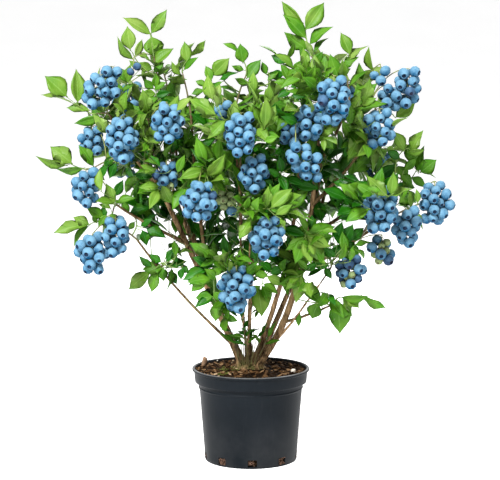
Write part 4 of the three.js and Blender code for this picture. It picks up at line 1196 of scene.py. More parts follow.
def settle(piece):
    """Applies a piece's modifiers and leaves one plain mesh in its place."""
    graph = bpy.context.evaluated_depsgraph_get()
    mesh = bpy.data.meshes.new_from_object(
        piece.evaluated_get(graph), preserve_all_data_layers=True, depsgraph=graph)
    name = piece.name
    bpy.data.objects.remove(piece)
    mesh.name = name
    return new_object(name, mesh)


class Rule:
    """A geometry node tree under construction, with its named inputs."""

    def __init__(self, name, **inputs):
        self.tree = bpy.data.node_groups.new(name, "GeometryNodeTree")
        face = self.tree.interface
        face.new_socket("Geometry", in_out="INPUT", socket_type="NodeSocketGeometry")
        for title, kind in inputs.items():
            face.new_socket(title.replace("_", " "), in_out="INPUT",
                            socket_type="NodeSocket" + kind)
        face.new_socket("Geometry", in_out="OUTPUT", socket_type="NodeSocketGeometry")
        self.given = self.tree.nodes.new("NodeGroupInput").outputs

    def add(self, kind, sockets=None, **settings):
        return add_node(self.tree, kind, sockets, **settings)

    def named(self, name, kind):
        node = self.add("GeometryNodeInputNamedAttribute", {"Name": name}, data_type=kind)
        return socket_of(node.outputs, "Attribute")

    def drawn(self, low, high, kind):
        """A value for each point, drawn by the rule's own seed."""
        node = self.add("FunctionNodeRandomValue", {
            "Min": low, "Max": high, "Seed": self.given["Seed"]}, data_type=kind)
        return socket_of(node.outputs, "Value")

    def pool(self, shapes):
        infos = [
            self.add("GeometryNodeObjectInfo", {"Object": self.given[f"Shape {i + 1}"],
                                                "As Instance": True})
            for i in range(shapes)
        ]
        return self.add("GeometryNodeJoinGeometry", {
            "Geometry": [socket_of(info.outputs, "Geometry") for info in infos]}).outputs[0]

    def set_out(self, points, shapes, pick, turn, size):
        """One of the shapes at each point."""
        return self.add("GeometryNodeInstanceOnPoints", {
            "Points": points, "Instance": self.pool(shapes), "Pick Instance": True,
            "Instance Index": pick, "Rotation": turn, "Scale": size}).outputs[0]

    def close(self, geometry, second=None):
        """Realizes what is instanced, sets the materials and ends the tree."""
        whole = self.add("GeometryNodeRealizeInstances", {"Geometry": geometry})
        last = self.add("GeometryNodeSetMaterial", {
            "Geometry": whole.outputs[0], "Material": self.given["Material"]})
        if second:
            last = self.add("GeometryNodeSetMaterial", {
                "Geometry": last.outputs[0], "Material": self.given[second],
                "Selection": self.named("second_finish", "BOOLEAN")})
        end = self.tree.nodes.new("NodeGroupOutput")
        self.tree.links.new(last.outputs[0], end.inputs[0])
        return self.tree


def numbered(shapes):
    """Shapes, or the kind of their inputs, under the names that a rule gives them."""
    return {f"Shape_{i + 1}": shape for i, shape in enumerate(shapes)}


def apply_rule(piece, tree, **values):
    modifier = piece.modifiers.new(tree.name, "NODES")
    modifier.node_group = tree
    for item in tree.interface.items_tree:
        key = item.name.replace(" ", "_")
        if item.in_out == "INPUT" and key in values:
            modifier[item.identifier] = values[key]
    return piece


def tube_rule():
    """Strands of edges become tubes, each as wide as its points say."""
    rule = Rule("tubes", Sides="Int", Material="Material")
    lines = rule.add("GeometryNodeMeshToCurve", {"Mesh": rule.given["Geometry"]})
    ring = rule.add("GeometryNodeCurvePrimitiveCircle", {
        "Resolution": rule.given["Sides"], "Radius": 1.0})
    tube = rule.add("GeometryNodeCurveToMesh", {
        "Curve": lines.outputs[0], "Profile Curve": ring.outputs[0],
        "Scale": rule.named("thickness", "FLOAT"), "Fill Caps": True})
    smooth = rule.add("GeometryNodeSetShadeSmooth", {"Geometry": tube.outputs[0]})
    return rule.close(smooth.outputs[0])


def relief_rule():
    """Bark relief: long ridges and small knots pushed along the normals."""
    rule = Rule("bark_relief", Ridge_depth="Float", Knot_depth="Float", Material="Material")
    place = rule.add("GeometryNodeInputPosition").outputs[0]
    stretched = rule.add("ShaderNodeVectorMath", {0: place, 1: (1, 1, 0.14)},
                         operation="MULTIPLY")
    ridges = rule.add("ShaderNodeTexNoise", {
        "Vector": stretched.outputs[0], "Scale": 330.0, "Detail": 3.0, "Roughness": 0.6})
    knots = rule.add("ShaderNodeTexNoise", {"Vector": place, "Scale": 70.0, "Detail": 2.0})

    def depth(node, key):
        centred = rule.add("ShaderNodeMath", {0: node.outputs[0], 1: 0.5}, operation="SUBTRACT")
        return rule.add("ShaderNodeMath", {
            0: centred.outputs[0], 1: rule.given[key]}, operation="MULTIPLY").outputs[0]

    whole = rule.add("ShaderNodeMath", {
        0: depth(ridges, "Ridge depth"), 1: depth(knots, "Knot depth")}, operation="ADD")
    normal = rule.add("GeometryNodeInputNormal").outputs[0]
    push = rule.add("ShaderNodeVectorMath", {0: normal, "Scale": whole.outputs[0]},
                    operation="SCALE")
    moved = rule.add("GeometryNodeSetPosition", {
        "Geometry": rule.given["Geometry"], "Offset": push.outputs[0]})
    smooth = rule.add("GeometryNodeSetShadeSmooth", {"Geometry": moved.outputs[0]})
    return rule.close(smooth.outputs[0])


def spray_rule(shapes, second=False):
    """One of several shapes at each point, turned and sized as the point says."""
    extra = {"Second_material": "Material"} if second else {}
    rule = Rule("spray", **numbered(["Object"] * shapes), Material="Material", **extra)
    placed = rule.set_out(
        rule.given["Geometry"], shapes, rule.named("shape", "INT"),
        rule.named("turn", "FLOAT_VECTOR"), rule.named("size", "FLOAT_VECTOR"))
    return rule.close(placed, "Second material" if second else None)


def chip_rule(shapes, where):
    """Flakes strewn over a part of a surface, turned, sized and heaped by a seeded rule."""
    rule = Rule("chips_on_" + where, **numbered(["Object"] * shapes), Density="Float",
                Seed="Int", Smallest="Float", Largest="Float", Lift="Float", Material="Material")
    strewn = rule.add("GeometryNodeDistributePointsOnFaces", {
        "Mesh": rule.given["Geometry"], "Density": rule.given["Density"],
        "Seed": rule.given["Seed"], "Selection": rule.named(where, "BOOLEAN")})
    placed = rule.set_out(
        strewn.outputs["Points"], shapes, rule.drawn(0, shapes - 1, "INT"),
        rule.drawn((-0.5, -0.5, 0.0), (0.5, 0.5, 6.28), "FLOAT_VECTOR"),
        rule.drawn(rule.given["Smallest"], rule.given["Largest"], "FLOAT"))
    heap = rule.drawn((0.0, 0.0, -0.0005), (0.0, 0.0, 1.0), "FLOAT_VECTOR")
    lift = rule.add("ShaderNodeVectorMath", {0: heap, "Scale": rule.given["Lift"]},
                    operation="SCALE")
    raised = rule.add("GeometryNodeTranslateInstances", {
        "Instances": placed, "Translation": lift.outputs[0]})
    return rule.close(raised.outputs[0])


def strands_object(name, strands):
    """Rows of points and radii as one mesh of edges, in metres."""
    verts, edges, thickness = [], [], []
    for points, radii in strands:
        start = len(verts)
        verts += [p * MM for p in points]
        thickness += [r * MM for r in radii]
        edges += [(start + i, start + i + 1) for i in range(len(points) - 1)]
    mesh = mesh_from(name, verts, [], edges)
    store(mesh, "thickness", "FLOAT", "POINT", thickness)
    return new_object(name, mesh)


def points_object(name, rows):
    """Places for a spray: position, three axes, size along them, and the shape's number."""
    mesh = mesh_from(name, [row[0] * MM for row in rows], [])
    turns = [Matrix(row[1]).transposed().to_euler() for row in rows]
    store(mesh, "turn", "FLOAT_VECTOR", "POINT", [tuple(turn) for turn in turns])
    store(mesh, "size", "FLOAT_VECTOR", "POINT", [tuple(s * MM for s in row[2]) for row in rows])
    store(mesh, "shape", "INT", "POINT", [row[3] for row in rows])
    return new_object(name, mesh)


def circle(sides):
    turns = [2 * math.pi * k / sides for k in range(sides)]
    return [(math.cos(turn), math.sin(turn)) for turn in turns]


def ring_faces(rings, sides, first=0):
    """Quads from each ring of points to the next."""
    return [
        (a + k, a + n, a + sides + n, a + sides + k)
        for a in range(first, first + (rings - 1) * sides, sides)
        for k, n in ((k, (k + 1) % sides) for k in range(sides))
    ]


def turned_faces(rings, sides):
    """Faces of a turned shape: a point on the axis, its rings, and a point on the axis."""
    end = 1 + (rings - 1) * sides
    faces = ring_faces(rings, sides, 1)
    for k in range(sides):
        n = (k + 1) % sides
        faces += [(0, 1 + n, 1 + k), (end + k, end + n, end + sides)]
    return faces


# Half widths of a leaf, of length 1, at stations along it; and how far across it the points
# of each row stand, to either edge.
LEAF_OUTLINE = [
    (0, 0.013), (0.07, 0.018), (0.17, 0.105), (0.31, 0.19), (0.46, 0.225),
    (0.63, 0.195), (0.79, 0.112), (0.91, 0.036),
]
LEAF_ROW = (-1, -0.5, 0, 0.5, 1)
LEAF_THICK = 0.013


def leaf_shape(name, fold, arch, wave, twist):
    """A closed thin blade along +Y, its upper side to +Z, folded along its midrib."""
    verts, across = [], []

    def centre(u):
        return Vector((0, u - 0.12 * arch * u * u, 0.1 * u * (1 - u) - arch * 0.38 * u * u))

    for along, half in LEAF_OUTLINE:
        roll = Quaternion((0, 1, 0), twist * along)
        for k in LEAF_ROW:
            swell = wave * half * math.sin(9 * along + 2 * k) * abs(k)
            lift = fold * half * (abs(k) - 0.25 * k * k) + swell
            verts.append(centre(along) + roll @ Vector((k * half, 0, lift)))
            across.append((k / 2 + 0.5, along))
        verts.append(centre(along) + roll @ Vector((0, 0, -LEAF_THICK)))
        across.append((0.5, along))
    verts.append(centre(1))
    across.append((0.5, 1))

    keel, step, tip = len(LEAF_ROW), len(LEAF_ROW) + 1, len(verts) - 1
    faces = []
    for a in range(0, tip - step, step):
        b = a + step
        faces += [(a + k, a + k + 1, b + k + 1, b + k) for k in range(keel - 1)]
        faces += [(a, b, b + keel, a + keel), (a + keel, b + keel, b + keel - 1, a + keel - 1)]
    a = tip - step
    faces += [(a + k, a + k + 1, tip) for k in range(keel - 1)]
    faces += [(a, tip, a + keel), (a + keel, tip, a + keel - 1), (0, *range(keel, 0, -1))]
    mesh = mesh_from(name, verts, faces)
    layer = mesh.uv_layers.new(name="blade")
    for face in mesh.polygons:
        under = any(i % step == keel for i in face.vertices)
        for i in face.loop_indices:
            u, v = across[mesh.loops[i].vertex_index]
            layer.data[i].uv = (u + 2 * under, v)
    smooth_all(mesh)
    return new_object(name, mesh)


BERRY_SIDES = 12
BERRY_RINGS = (24, 57, 90, 122, 150)  # degrees round from the stalk's end
BERRY_CROWN = Sizes(lip=(0.49, 0.05), mouth=(0.37, 0.02), pit=-0.14, notch=(0.9, 0.05))


def berry_shape(name, squat, crown):
    """A berry of radius 1, its crowned end to +Z, with a pit inside the crown."""
    rings = [(math.sin(a), -squat * math.cos(a)) for a in np.radians(BERRY_RINGS)]
    top = rings[-1][1]
    lip, mouth = BERRY_CROWN.lip, BERRY_CROWN.mouth
    rings += [(lip[0], top + lip[1] + crown), (mouth[0], top + mouth[1])]
    shrink, drop = BERRY_CROWN.notch
    verts = [(0, 0, -squat)]
    for number, (radius, height) in enumerate(rings):
        for k, (x, y) in enumerate(circle(BERRY_SIDES)):
            notch = number == len(BERRY_RINGS) and k % 2
            r, h = (radius * shrink, height - drop) if notch else (radius, height)
            verts.append((r * x, r * y, h))
    verts.append((0, 0, top + BERRY_CROWN.pit))
    mesh = mesh_from(name, verts, turned_faces(len(rings), BERRY_SIDES))
    mouth_at = len(verts) - 1 - BERRY_SIDES
    in_pit = [min(face.vertices) >= mouth_at for face in mesh.polygons]
    store(mesh, "second_finish", "BOOLEAN", "FACE", in_pit)
    for face, flat in zip(mesh.polygons, in_pit):
        face.use_smooth = not flat
    return new_object(name, mesh)


def chip_shape(name, length, width, height, seed):
    """A flake of bark: a rough-edged slab with a worn top."""
    draw = seeded(seed)
    verts, sides = [], 8
    for level, shrink in ((-0.5, 0.8), (0.1, 1.0), (0.5, 0.72)):
        for x, y in circle(sides):
            rough = shrink * draw(0.75, 1.1)
            verts.append((0.5 * length * rough * x, 0.5 * width * rough * y,
                          height * (level + draw(-0.2, 0.2))))
    faces = ring_faces(3, sides)
    faces += [tuple(reversed(range(sides))), tuple(range(2 * sides, 3 * sides))]
    return new_object(name, mesh_from(name, verts, faces))


def lathe(name, profile, sides, height_at=None):
    """A closed shape turned from a profile of (radius, height), from axis to axis."""
    shaped = height_at or (lambda x, y, height: height)
    inner = profile[1:-1]
    verts = [(0, 0, profile[0][1])]
    for radius, height in inner:
        for x, y in circle(sides):
            verts.append((radius * x, radius * y, shaped(radius * x, radius * y, height)))
    verts.append((0, 0, shaped(0, 0, profile[-1][1])))
    return mesh_from(name, [Vector(v) * MM for v in verts], turned_faces(len(inner), sides))


# ---- pot and potting mix ----

POT = Sizes(height=135, rim=85, collar_height=20, base=66.5, wall=2.2, floor=3,
            sides=144, sharp=42)
DRAIN = Sizes(count=9, width=13, height=10.5, sill=2.6, depth=14, turn=0.8)
SOIL_EDGE = 131.6
MIX_SIDES = 72
MIX_OPEN = 121  # the height above which the mix shows
# The parts of its open top: from and to how far out.
MIX_PARTS = {"open_top": (19, 69), "open_edge": (69, 77.5)}
MOUND = Sizes(rise=3.4, reach=72, round=0.8, foot=0.4, flat_from=79, fade=12)

# Flakes of bark: name, length, width, height and seed.
CHIP_SHAPES = [
    ("chip_long", 16, 4.8, 2.4, 5),
    ("chip_broad", 12.5, 7.0, 2.4, 11),
    ("chip_short", 9, 5.2, 3.0, 23),
    ("chip_splinter", 19, 3.4, 2.2, 31),
]
# Heaps of flakes: the lit and the deep colour, how many to the square metre, seed and lift.
HEAPS = {
    "chips_dark": ((0.017, 0.008, 0.0025), (0.003, 0.0013, 0.0004), 11000.0, 3, 0.002),
    "chips_brown": ((0.085, 0.043, 0.016), (0.017, 0.008, 0.003), 5600.0, 7, 0.0036),
    "chips_tan": ((0.23, 0.138, 0.068), (0.06, 0.033, 0.015), 3600.0, 13, 0.0048),
    "chips_pale": ((0.42, 0.3, 0.185), (0.15, 0.095, 0.052), 900.0, 29, 0.005),
}
# Where they lie: the part, the smallest and largest, how many more there are, and what is
# added to the heap's name.
HEAP_PARTS = [("open_top", 0.7, 1.25, 1, ""), ("open_edge", 0.32, 0.6, 2.6, "_edge")]
# Moss on the mix: the middle of each patch and its reach, and its tufts.
MOSS = Sizes(patches=((-26, -6, 8), (-40, -2, 8), (-41, -18, 10), (-40, -34, 9), (-22, -18, 7)),
             density=420000.0, sizes=(0.26, 0.55), seed=41, lift=0.007,
             colours=((0.078, 0.084, 0.016), (0.016, 0.02, 0.004)))
# Loose things on the mix: size, place, turns, and the two colours.
STONES = {
    "pebble_large": ((8.4, 7.2, 6), (61, -29, 135.2), (0.2, 0.1, 0.4),
                     (0.56, 0.52, 0.46), (0.36, 0.31, 0.25)),
    "pebble_middle": ((3, 2.4, 2.2), (18, 15, 136.5), (0.4, 0, 2),
                      (0.7, 0.68, 0.64), (0.5, 0.46, 0.4)),
    "pebble_small": ((3, 2.4, 2), (-49, 46, 136), (0, 0.3, 1),
                     (0.7, 0.68, 0.64), (0.5, 0.46, 0.4)),
    "chip_upright": ((10.5, 5.5, 17), (-68, 30, 137), (0.2, 0.2, 0.3),
                     (0.25, 0.16, 0.1), (0.085, 0.046, 0.027)),
}
# How many root fibres show in each drain, the box they keep to, and how thick they are.
LITTER = Sizes(strands=(8, 10, 6, 9, 8, 60, 22, 56, 10), inner=60.5, outer=67.2,
               half_width=5.6, above_sill=0.6, top=12.4, step=(2, 3, 2.2),
               thick=(0.2, 0.62), taper=(0.7, 1, 1, 0.5))


def box_mesh(name, low, high, turn):
    """A box between two corners, turned round the upright axis; in metres."""
    corners = [Vector(((low, high)[a][0], (low, high)[b][1], (low, high)[c][2]))
               for a, b, c in product((0, 1), repeat=3)]
    verts = [(Quaternion(UP, turn) @ corner) * MM for corner in corners]
    faces = [(0, 1, 3, 2), (4, 6, 7, 5), (0, 4, 5, 1), (2, 3, 7, 6), (0, 2, 6, 4), (1, 5, 7, 3)]
    return mesh_from(name, verts, faces)


def drain_turn(number):
    return (number + DRAIN.turn) * 2 * math.pi / DRAIN.count


def pot_piece(material):
    """The pot, turned and with its drains cut through."""
    top, foot = POT.height, POT.height - POT.collar_height
    inside, floor = POT.base - POT.wall, POT.floor
    profile = [
        (0, 0), (60, 0), (64.9, 0.0), (66.0, 0.5), (66.5, 1.6), (67.2, 10), (69.5, 42), (72.0, 75),
        (74.4, 104.2), (74.6, 105.2), (75.6, 106.0), (75.8, 107.0), (75.0, 108.0), (75.1, 109.6),
        (75.6, foot - 2.6), (76.3, foot - 1.6), (79.4, foot - 0.9), (80.6, foot - 0.2),
        (81.0, foot + 0.9), (81.8, top - 11), (82.3, top - 5.4), (82.6, top - 4.5),
        (84.0, top - 3.9), (84.8, top - 3.2), (POT.rim, top - 2.2), (84.9, top - 1.0),
        (84.3, top - 0.3), (83.3, top), (81.9, top - 0.1), (81.0, top - 0.6),
        (80.5, top - 1.6), (80.2, top - 5), (79.4, foot + 5), (78.8, foot + 1.5),
        (75.4, foot - 0.6), (74.4, foot - 1.5), (73.4, foot - 4),
        (inside + 0.6, 12), (inside, floor + 1.2), (inside - 1.4, floor), (0, floor),
    ]
    pot = new_object("pot_shell", lathe("pot_shell", profile, POT.sides))
    half, deep = DRAIN.width / 2, DRAIN.depth / 2
    low = (POT.base - deep, -half, DRAIN.sill)
    high = (POT.base + deep, half, DRAIN.sill + DRAIN.height)
    cutters = [new_object("drain", box_mesh("drain", low, high, drain_turn(i)))
               for i in range(DRAIN.count)]
    for cutter in cutters:
        cut = pot.modifiers.new("drain", "BOOLEAN")
        cut.operation, cut.object, cut.solver = "DIFFERENCE", cutter, "EXACT"
    pot = settle(pot)
    remove_all(cutters)
    pot.data.materials.clear()
    pot.data.materials.append(material)
    pot.data.set_sharp_from_angle(angle=math.radians(POT.sharp))
    smooth_all(pot.data)
    return pot


def soil_height(x, y, height):
    """The mix's open top: a low mound to the stems, with soft humps."""
    if height < SOIL_EDGE:
        return height
    reach = math.hypot(x, y)
    mound = MOUND.rise * max(0, 1 - reach / MOUND.reach) ** MOUND.round
    humps = 0.9 * math.sin(0.17 * x + 1) * math.cos(0.15 * y) + 0.6 * math.sin(0.31 * y + 0.2 * x)
    flat = min(1, (MOUND.flat_from - reach) / MOUND.fade)
    return SOIL_EDGE - MOUND.foot + mound + humps * flat


def compost_piece(material):
    inside = POT.base - POT.wall - 0.3
    profile = [(0, 3.3), (inside - 2, 3.3), (inside, 5), (68, 60), (72.9, 110), (78.2, 120)]
    stations = (78.9, 76, 72, 67, 61, 55, 48, 41, 34, 27, 20, 12, 0)
    profile += [(radius, SOIL_EDGE) for radius in stations]
    mesh = lathe("compost", profile, MIX_SIDES, soil_height)
    middles = [face.center / MM for face in mesh.polygons]
    for name, (low, high) in MIX_PARTS.items():
        store(mesh, name, "BOOLEAN", "FACE", [
            z > MIX_OPEN and low < math.hypot(x, y) < high for x, y, z in middles])
    store(mesh, "mossy", "BOOLEAN", "FACE", [
        z > MIX_OPEN and any(math.hypot(x - px, y - py) < r for px, py, r in MOSS.patches)
        for x, y, z in middles])
    mesh.materials.append(material)
    return new_object("compost", mesh)


# ---- the making ----

# Leaves by tone, from young growth to painted shade deep in the crown: up to what tone, lit and
# deep colour, and the underside's.
TONES = {
    "leaves_deep": (0.32, (0.012, 0.09, 0.0006), (0.003, 0.044, 0.0002), (0.02, 0.078, 0.003)),
    "leaves_green": (0.58, (0.056, 0.145, 0.007), (0.024, 0.096, 0.0018), (0.06, 0.13, 0.018)),
    "leaves_fresh": (0.85, (0.086, 0.156, 0.018), (0.047, 0.12, 0.006), (0.088, 0.155, 0.027)),
    "leaves_young": (9.0, (0.118, 0.178, 0.034), (0.076, 0.15, 0.014), (0.112, 0.178, 0.04)),
}
BLADES = {  # fold, arch, wave and twist
    "blade_flat": (0.4, 0.12, 0.07, 0.1),
    "blade_arched": (0.5, 0.5, 0.1, -0.25),
    "blade_folded": (0.8, 0.22, 0.04, 0.2),
    "blade_waved": (0.3, 0.3, 0.28, -0.4),
}
BLADE_BREADTH = (0.92, 0.2)  # the narrowest, and how much broader one may be
BERRY_SHAPES = {"berry_round": (0.92, 0.03), "berry_squat": (0.84, 0.06)}
# Each kind of berry: bloom, skin and how far the bloom is rubbed; its crown's rim and pit.
BERRY_KINDS = {
    "ripe": (("berry_bloom", (0.084, 0.176, 0.252), (0.001, 0.046, 0.11), 0.46),
             ("berry_crown", (0.008, 0.02, 0.045), (0.002, 0.004, 0.011))),
    "dark": (("berry_dusky", (0.045, 0.095, 0.16), (0.01, 0.024, 0.055), 0.5),
             ("berry_dusky_crown", (0.02, 0.022, 0.045), (0.004, 0.004, 0.01))),
    "green": (("berry_unripe", (0.2, 0.25, 0.12), (0.12, 0.165, 0.06), 0.5),
              ("berry_unripe_crown", (0.12, 0.12, 0.06), (0.05, 0.05, 0.025))),
}
# Bark: pale, dark and grey.
BARKS = {
    "cane_bark": ((0.36, 0.228, 0.115), (0.026, 0.013, 0.005), (0.16, 0.105, 0.048)),
    "bough_bark": ((0.2, 0.135, 0.062), (0.04, 0.024, 0.01), (0.12, 0.11, 0.045)),
}
# Thin wood: the piece, its sides, and its skin's name, lit and deep colour.
TWIGS = [
    ("stems", 7, "stem_skin", (0.1, 0.1, 0.03), (0.06, 0.036, 0.016)),
    ("shoots", 5, "shoot_skin", (0.13, 0.2, 0.035), (0.06, 0.11, 0.02)),
    ("fruit_stalks", 5, "fruit_stalk_skin", (0.19, 0.21, 0.06), (0.11, 0.13, 0.034)),
]
SIDE_ROOTS = 9
BURLS = 16


def ride(piece, slot, *nodes):
    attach(piece, "root")
    if nodes:
        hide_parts(*nodes)


def strand_of(course, radii):
    """A strand along a course, with a point for each radius."""
    last = len(radii) - 1
    return [course(i / last) for i in range(len(radii))], radii


def root_crown_strands(canes):
    """Surface roots and burls, as short thick strands that the remesh runs together."""
    middle = Vector((*CROWN_MIDDLE, SOIL_TOP))
    strands = []
    draw = seeded(SEEDS.root_crown)
    for cane in canes:
        above, foot = cane.course(0.035), cane.course(0)
        out = Vector((foot.x - middle.x, foot.y - middle.y, 0))
        end = Vector((middle.x, middle.y, SOIL_TOP - 6)) + out * 1.75
        radii = [cane.radii[0] * k for k in (1.1, 1.25, 1.4, 1.6, 1.9, 2.3)]
        strands.append(strand_of(bezier(above, foot + out * 0.1, end), radii))
    for i in range(SIDE_ROOTS):
        turn = (i + draw(0.1, 0.6)) * 2 * math.pi / SIDE_ROOTS
        out = Vector((math.cos(turn), math.sin(turn) * 0.8, 0))
        start, end = middle + UP * draw(4, 9) + out * 7, middle + out * draw(22, 29) - UP * 4
        radii = [draw(3.6, 5.2), 4.4, 3.4, 2.4, 1.6]
        strands.append(strand_of(bezier(start, start + out * 9 + UP, end), radii))
    for _ in range(BURLS):
        turn, reach = draw(0, 2 * math.pi), draw(6, 15)
        x, y = math.cos(turn) * reach, math.sin(turn) * reach * 0.75
        spot = middle + Vector((x, y, draw(1, 14)))
        lift = Vector((draw(-3, 3), draw(-2, 2), draw(3, 9)))
        radii = [draw(2.4, 4), draw(2.8, 4.8), draw(1.2, 2.6)]
        strands.append(([spot, spot + lift * 0.5, spot + lift], radii))
    strands.append(([middle - UP * 4, middle + UP * 5, middle + UP * 13], [14.5, 12.5, 7]))
    return strands


def make_wood(limbs, tubes):
    """The canes, run together with their root crown, and the boughs."""
    relief = relief_rule()
    bark, young_bark = (bark_finish(name, *colours) for name, colours in BARKS.items())
    canes = [limb for limb in limbs if limb.name.startswith("cane")]
    boughs = [limb for limb in limbs if limb.name.startswith("bough")]

    strands = [cane.strand(4) for cane in canes] + root_crown_strands(canes)
    wood = strands_object("canes", strands)
    wood = settle(apply_rule(wood, tubes, Sides=14, Material=bark))
    melt = wood.modifiers.new("melt", "REMESH")
    melt.mode, melt.voxel_size, melt.use_smooth_shade = "VOXEL", 1.35 * MM, True
    ease = wood.modifiers.new("ease", "SMOOTH")
    ease.factor, ease.iterations = 0.5, 3
    apply_rule(wood, relief, Ridge_depth=1.5 * MM, Knot_depth=1.6 * MM, Material=bark)
    ride(settle(wood), "bark", "root_crown", *[cane.name for cane in canes])

    thin = strands_object("boughs", [bough.strand(3.5) for bough in boughs])
    apply_rule(thin, tubes, Sides=12, Material=young_bark)
    apply_rule(thin, relief, Ridge_depth=0.5 * MM, Knot_depth=0.9 * MM, Material=young_bark)
    ride(settle(thin), "bark", *[bough.name for bough in boughs])


def make_twigs(bush, tubes):
    for twigs, row in zip((bush.stems, bush.shoots, bush.stalks), TWIGS):
        name, sides, skin, lit, deep = row
        rows = strands_object(name, [(twig.points, twig.radii) for twig in twigs])
        material = stalk_finish(skin, lit, deep)
        ride(settle(apply_rule(rows, tubes, Sides=sides, Material=material)), "foliage")


def make_leaves(leaves):
    shapes = [leaf_shape(name, *bends) for name, bends in BLADES.items()]
    rule = spray_rule(len(shapes))
    masses = ["foliage_" + name for name in MASSES]
    narrow, more = BLADE_BREADTH
    low = -math.inf
    for name, (limit, *colours) in TONES.items():
        rows = [
            (root, (across, direction, normal),
             (length * broad * (narrow + more * pick), length, length),
             int(pick * 97) % len(shapes))
            for root, direction, across, normal, length, tone, pick, broad in leaves
            if low <= tone < limit
        ]
        low = limit
        piece = apply_rule(points_object(name, rows), rule, Material=leaf_finish(name, *colours),
                           **numbered(shapes))
        ride(settle(piece), "foliage", *(masses if name == "leaves_green" else []))
    remove_all(shapes)


def make_berries(berries):
    shapes = [berry_shape(name, *form) for name, form in BERRY_SHAPES.items()]
    rule = spray_rule(len(shapes), second=True)
    finishes = {kind: (berry_finish(*skin), calyx_finish(*crown))
                for kind, (skin, crown) in BERRY_KINDS.items()}
    for kind, (skin, crown) in finishes.items():
        rows = []
        for spot, face, size, roll, own in berries:
            if own == kind:
                side = sideways(face, roll)
                rows.append((spot, (side, face.cross(side), face), (size,) * 3,
                             int(roll * 50) % len(shapes)))
        piece = apply_rule(points_object("berries_" + kind, rows), rule, Material=skin,
                           Second_material=crown, **numbered(shapes))
        ride(settle(piece), "foliage")
    remove_all(shapes)


def strew(compost, name, rule, shapes, sizes, **values):
    """Flakes over the compost's own surface, as a piece of their own."""
    heap = compost.copy()
    heap.data = compost.data.copy()
    heap.name = name
    bpy.context.scene.collection.objects.link(heap)
    apply_rule(heap, rule, Smallest=sizes[0] * MM, Largest=sizes[1] * MM, **values,
               **numbered(shapes))
    ride(settle(heap), "potting_mix")


def make_pot():
    ride(pot_piece(pot_finish()), "pot_plastic", "pot")
    compost = compost_piece(compost_finish())
    shapes = [chip_shape(*row) for row in CHIP_SHAPES]
    rules = [chip_rule(len(shapes), part[0]) for part in HEAP_PARTS]
    for name, (lit, deep, density, seed, lift) in HEAPS.items():
        finish = chip_finish(name, lit, deep)
        for rule, (_, smallest, largest, more, suffix) in zip(rules, HEAP_PARTS):
            strew(compost, name + suffix, rule, shapes, (smallest, largest),
                  Density=density * more, Seed=seed, Lift=lift / more, Material=finish)
    strew(compost, "moss", chip_rule(len(shapes), "mossy"), shapes, MOSS.sizes,
          Density=MOSS.density, Seed=MOSS.seed, Lift=MOSS.lift,
          Material=chip_finish("moss", *MOSS.colours))
    remove_all(shapes)
    make_stones()
    make_litter()
    ride(compost, "potting_mix", "potting_mix")


def make_stones():
    for number, (name, (size, place, turns, *colours)) in enumerate(STONES.items()):
        piece = chip_shape(name, *size, SEEDS.pebbles + number)
        turned = Euler(turns).to_matrix().to_4x4()
        piece.data.transform(Matrix.Scale(MM, 4) @ Matrix.Translation(place) @ turned)
        smooth = piece.modifiers.new("round_off", "SUBSURF")
        smooth.levels = smooth.render_levels = 2
        piece = settle(piece)
        piece.data.materials.append(chip_finish(name, *colours))
        smooth_all(piece.data)
        ride(piece, "potting_mix")


def make_litter():
    """Root fibres caught in the drains."""
    draw = seeded(SEEDS.litter)
    half, foot = LITTER.half_width, DRAIN.sill + LITTER.above_sill
    lows, highs = (LITTER.inner, -half, foot), (LITTER.outer, half, LITTER.top)
    strands = []
    for drain, count in enumerate(LITTER.strands):
        turned = Quaternion(UP, drain_turn(drain))
        for _ in range(count):
            point = Vector((draw(lows[0], highs[0]), draw(-1, 1) * half, draw(lows[2], highs[2])))
            points = [point]
            for _ in LITTER.taper[1:]:
                point = point + scatter(draw, *LITTER.step)
                point = Vector([min(max(p, low), high)
                                for p, low, high in zip(point, lows, highs)])
                points.append(point)
            thick = draw(*LITTER.thick)
            strands.append(([turned @ p for p in points], [thick * k for k in LITTER.taper]))
    fibres = chip_finish("root_fibres", (0.17, 0.1, 0.07), (0.02, 0.011, 0.007))
    piece = apply_rule(strands_object("drain_litter", strands), tube_rule(), Sides=5,
                       Material=fibres)
    ride(settle(piece), "potting_mix")


def build():
    bush = Bush()
    bush.grow()
    tubes = tube_rule()
    make_wood(bush.limbs.values(), tubes)
    make_twigs(bush, tubes)
    make_leaves(bush.leaves)
    make_berries(bush.berries)
    make_pot()


# ---- floor, light and camera, in metres ----

FLOOR_SIDES = 96
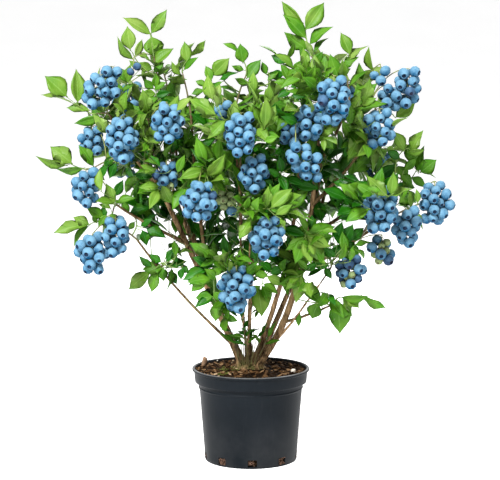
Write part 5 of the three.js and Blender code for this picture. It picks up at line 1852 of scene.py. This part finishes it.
# Lamps: place, size and power.
LAMPS = {
    "key": ((-1.0, -2.1, 2.3), 0.7, 260),
    "fill": ((1.7, -1.6, 1.0), 1.4, 26),
    "back": ((0.7, 1.9, 1.8), 1.2, 60),
}
LAMP_TARGET = Vector((0, 0, 0.38))
SKY = 0.6
CAMERA = Sizes(place=(-0.00107, -2.5, 0.6191), down=6.814, sensor=36, lens=126.18)


def floor_piece():
    """The floor: flat out to 3 m, then rising in a curve to a low wall."""
    rise = [(3 + i, 2.4 * (i / 12) ** 2) for i in range(13)]
    profile = [(1.5, 0), *rise, (rise[-1][0] + 0.01, rise[-1][1] + 0.6)]
    verts = [(r * x, r * y, z) for r, z in profile for x, y in circle(FLOOR_SIDES)]
    faces = [(0, 1 + k, 1 + (k + 1) % FLOOR_SIDES) for k in range(FLOOR_SIDES)]
    faces += [(a, d, c, b) for a, b, c, d in ring_faces(len(profile), FLOOR_SIDES, 1)]
    floor = new_object("floor", mesh_from("floor", [(0, 0, 0)] + verts, faces))
    smooth_all(floor.data)
    finish = Finish("studio_floor", Roughness=0.9, Specular_IOR_Level=0.1, Emission_Strength=0.42)
    pale = finish.blend(finish.noise(3, 2), (0.88, 0.88, 0.88), (0.92, 0.92, 0.92))
    floor.data.materials.append(finish.wear(Base_Color=pale, Emission_Color=pale))
    return floor


def stage():
    floor_piece()
    scene = bpy.context.scene
    scene.world = bpy.data.worlds.new("studio")
    scene.world.use_nodes = True
    sky = scene.world.node_tree.nodes["Background"]
    sky.inputs[0].default_value, sky.inputs[1].default_value = (1, 1, 1, 1), SKY
    for name, (place, size, power) in LAMPS.items():
        lamp = bpy.data.lights.new(name, "AREA")
        lamp.size, lamp.energy = size, power
        light = new_object(name, lamp)
        light.location = place
        light.rotation_euler = (LAMP_TARGET - Vector(place)).to_track_quat("-Z", "Y").to_euler()
    lens = bpy.data.cameras.new("camera")
    lens.sensor_fit, lens.sensor_width, lens.lens = "HORIZONTAL", CAMERA.sensor, CAMERA.lens
    camera = new_object("camera", lens)
    camera.location = CAMERA.place
    camera.rotation_euler = (math.radians(90 - CAMERA.down), 0, 0)
    scene.camera = camera
    scene.view_settings.view_transform = "Standard"


build()
stage()
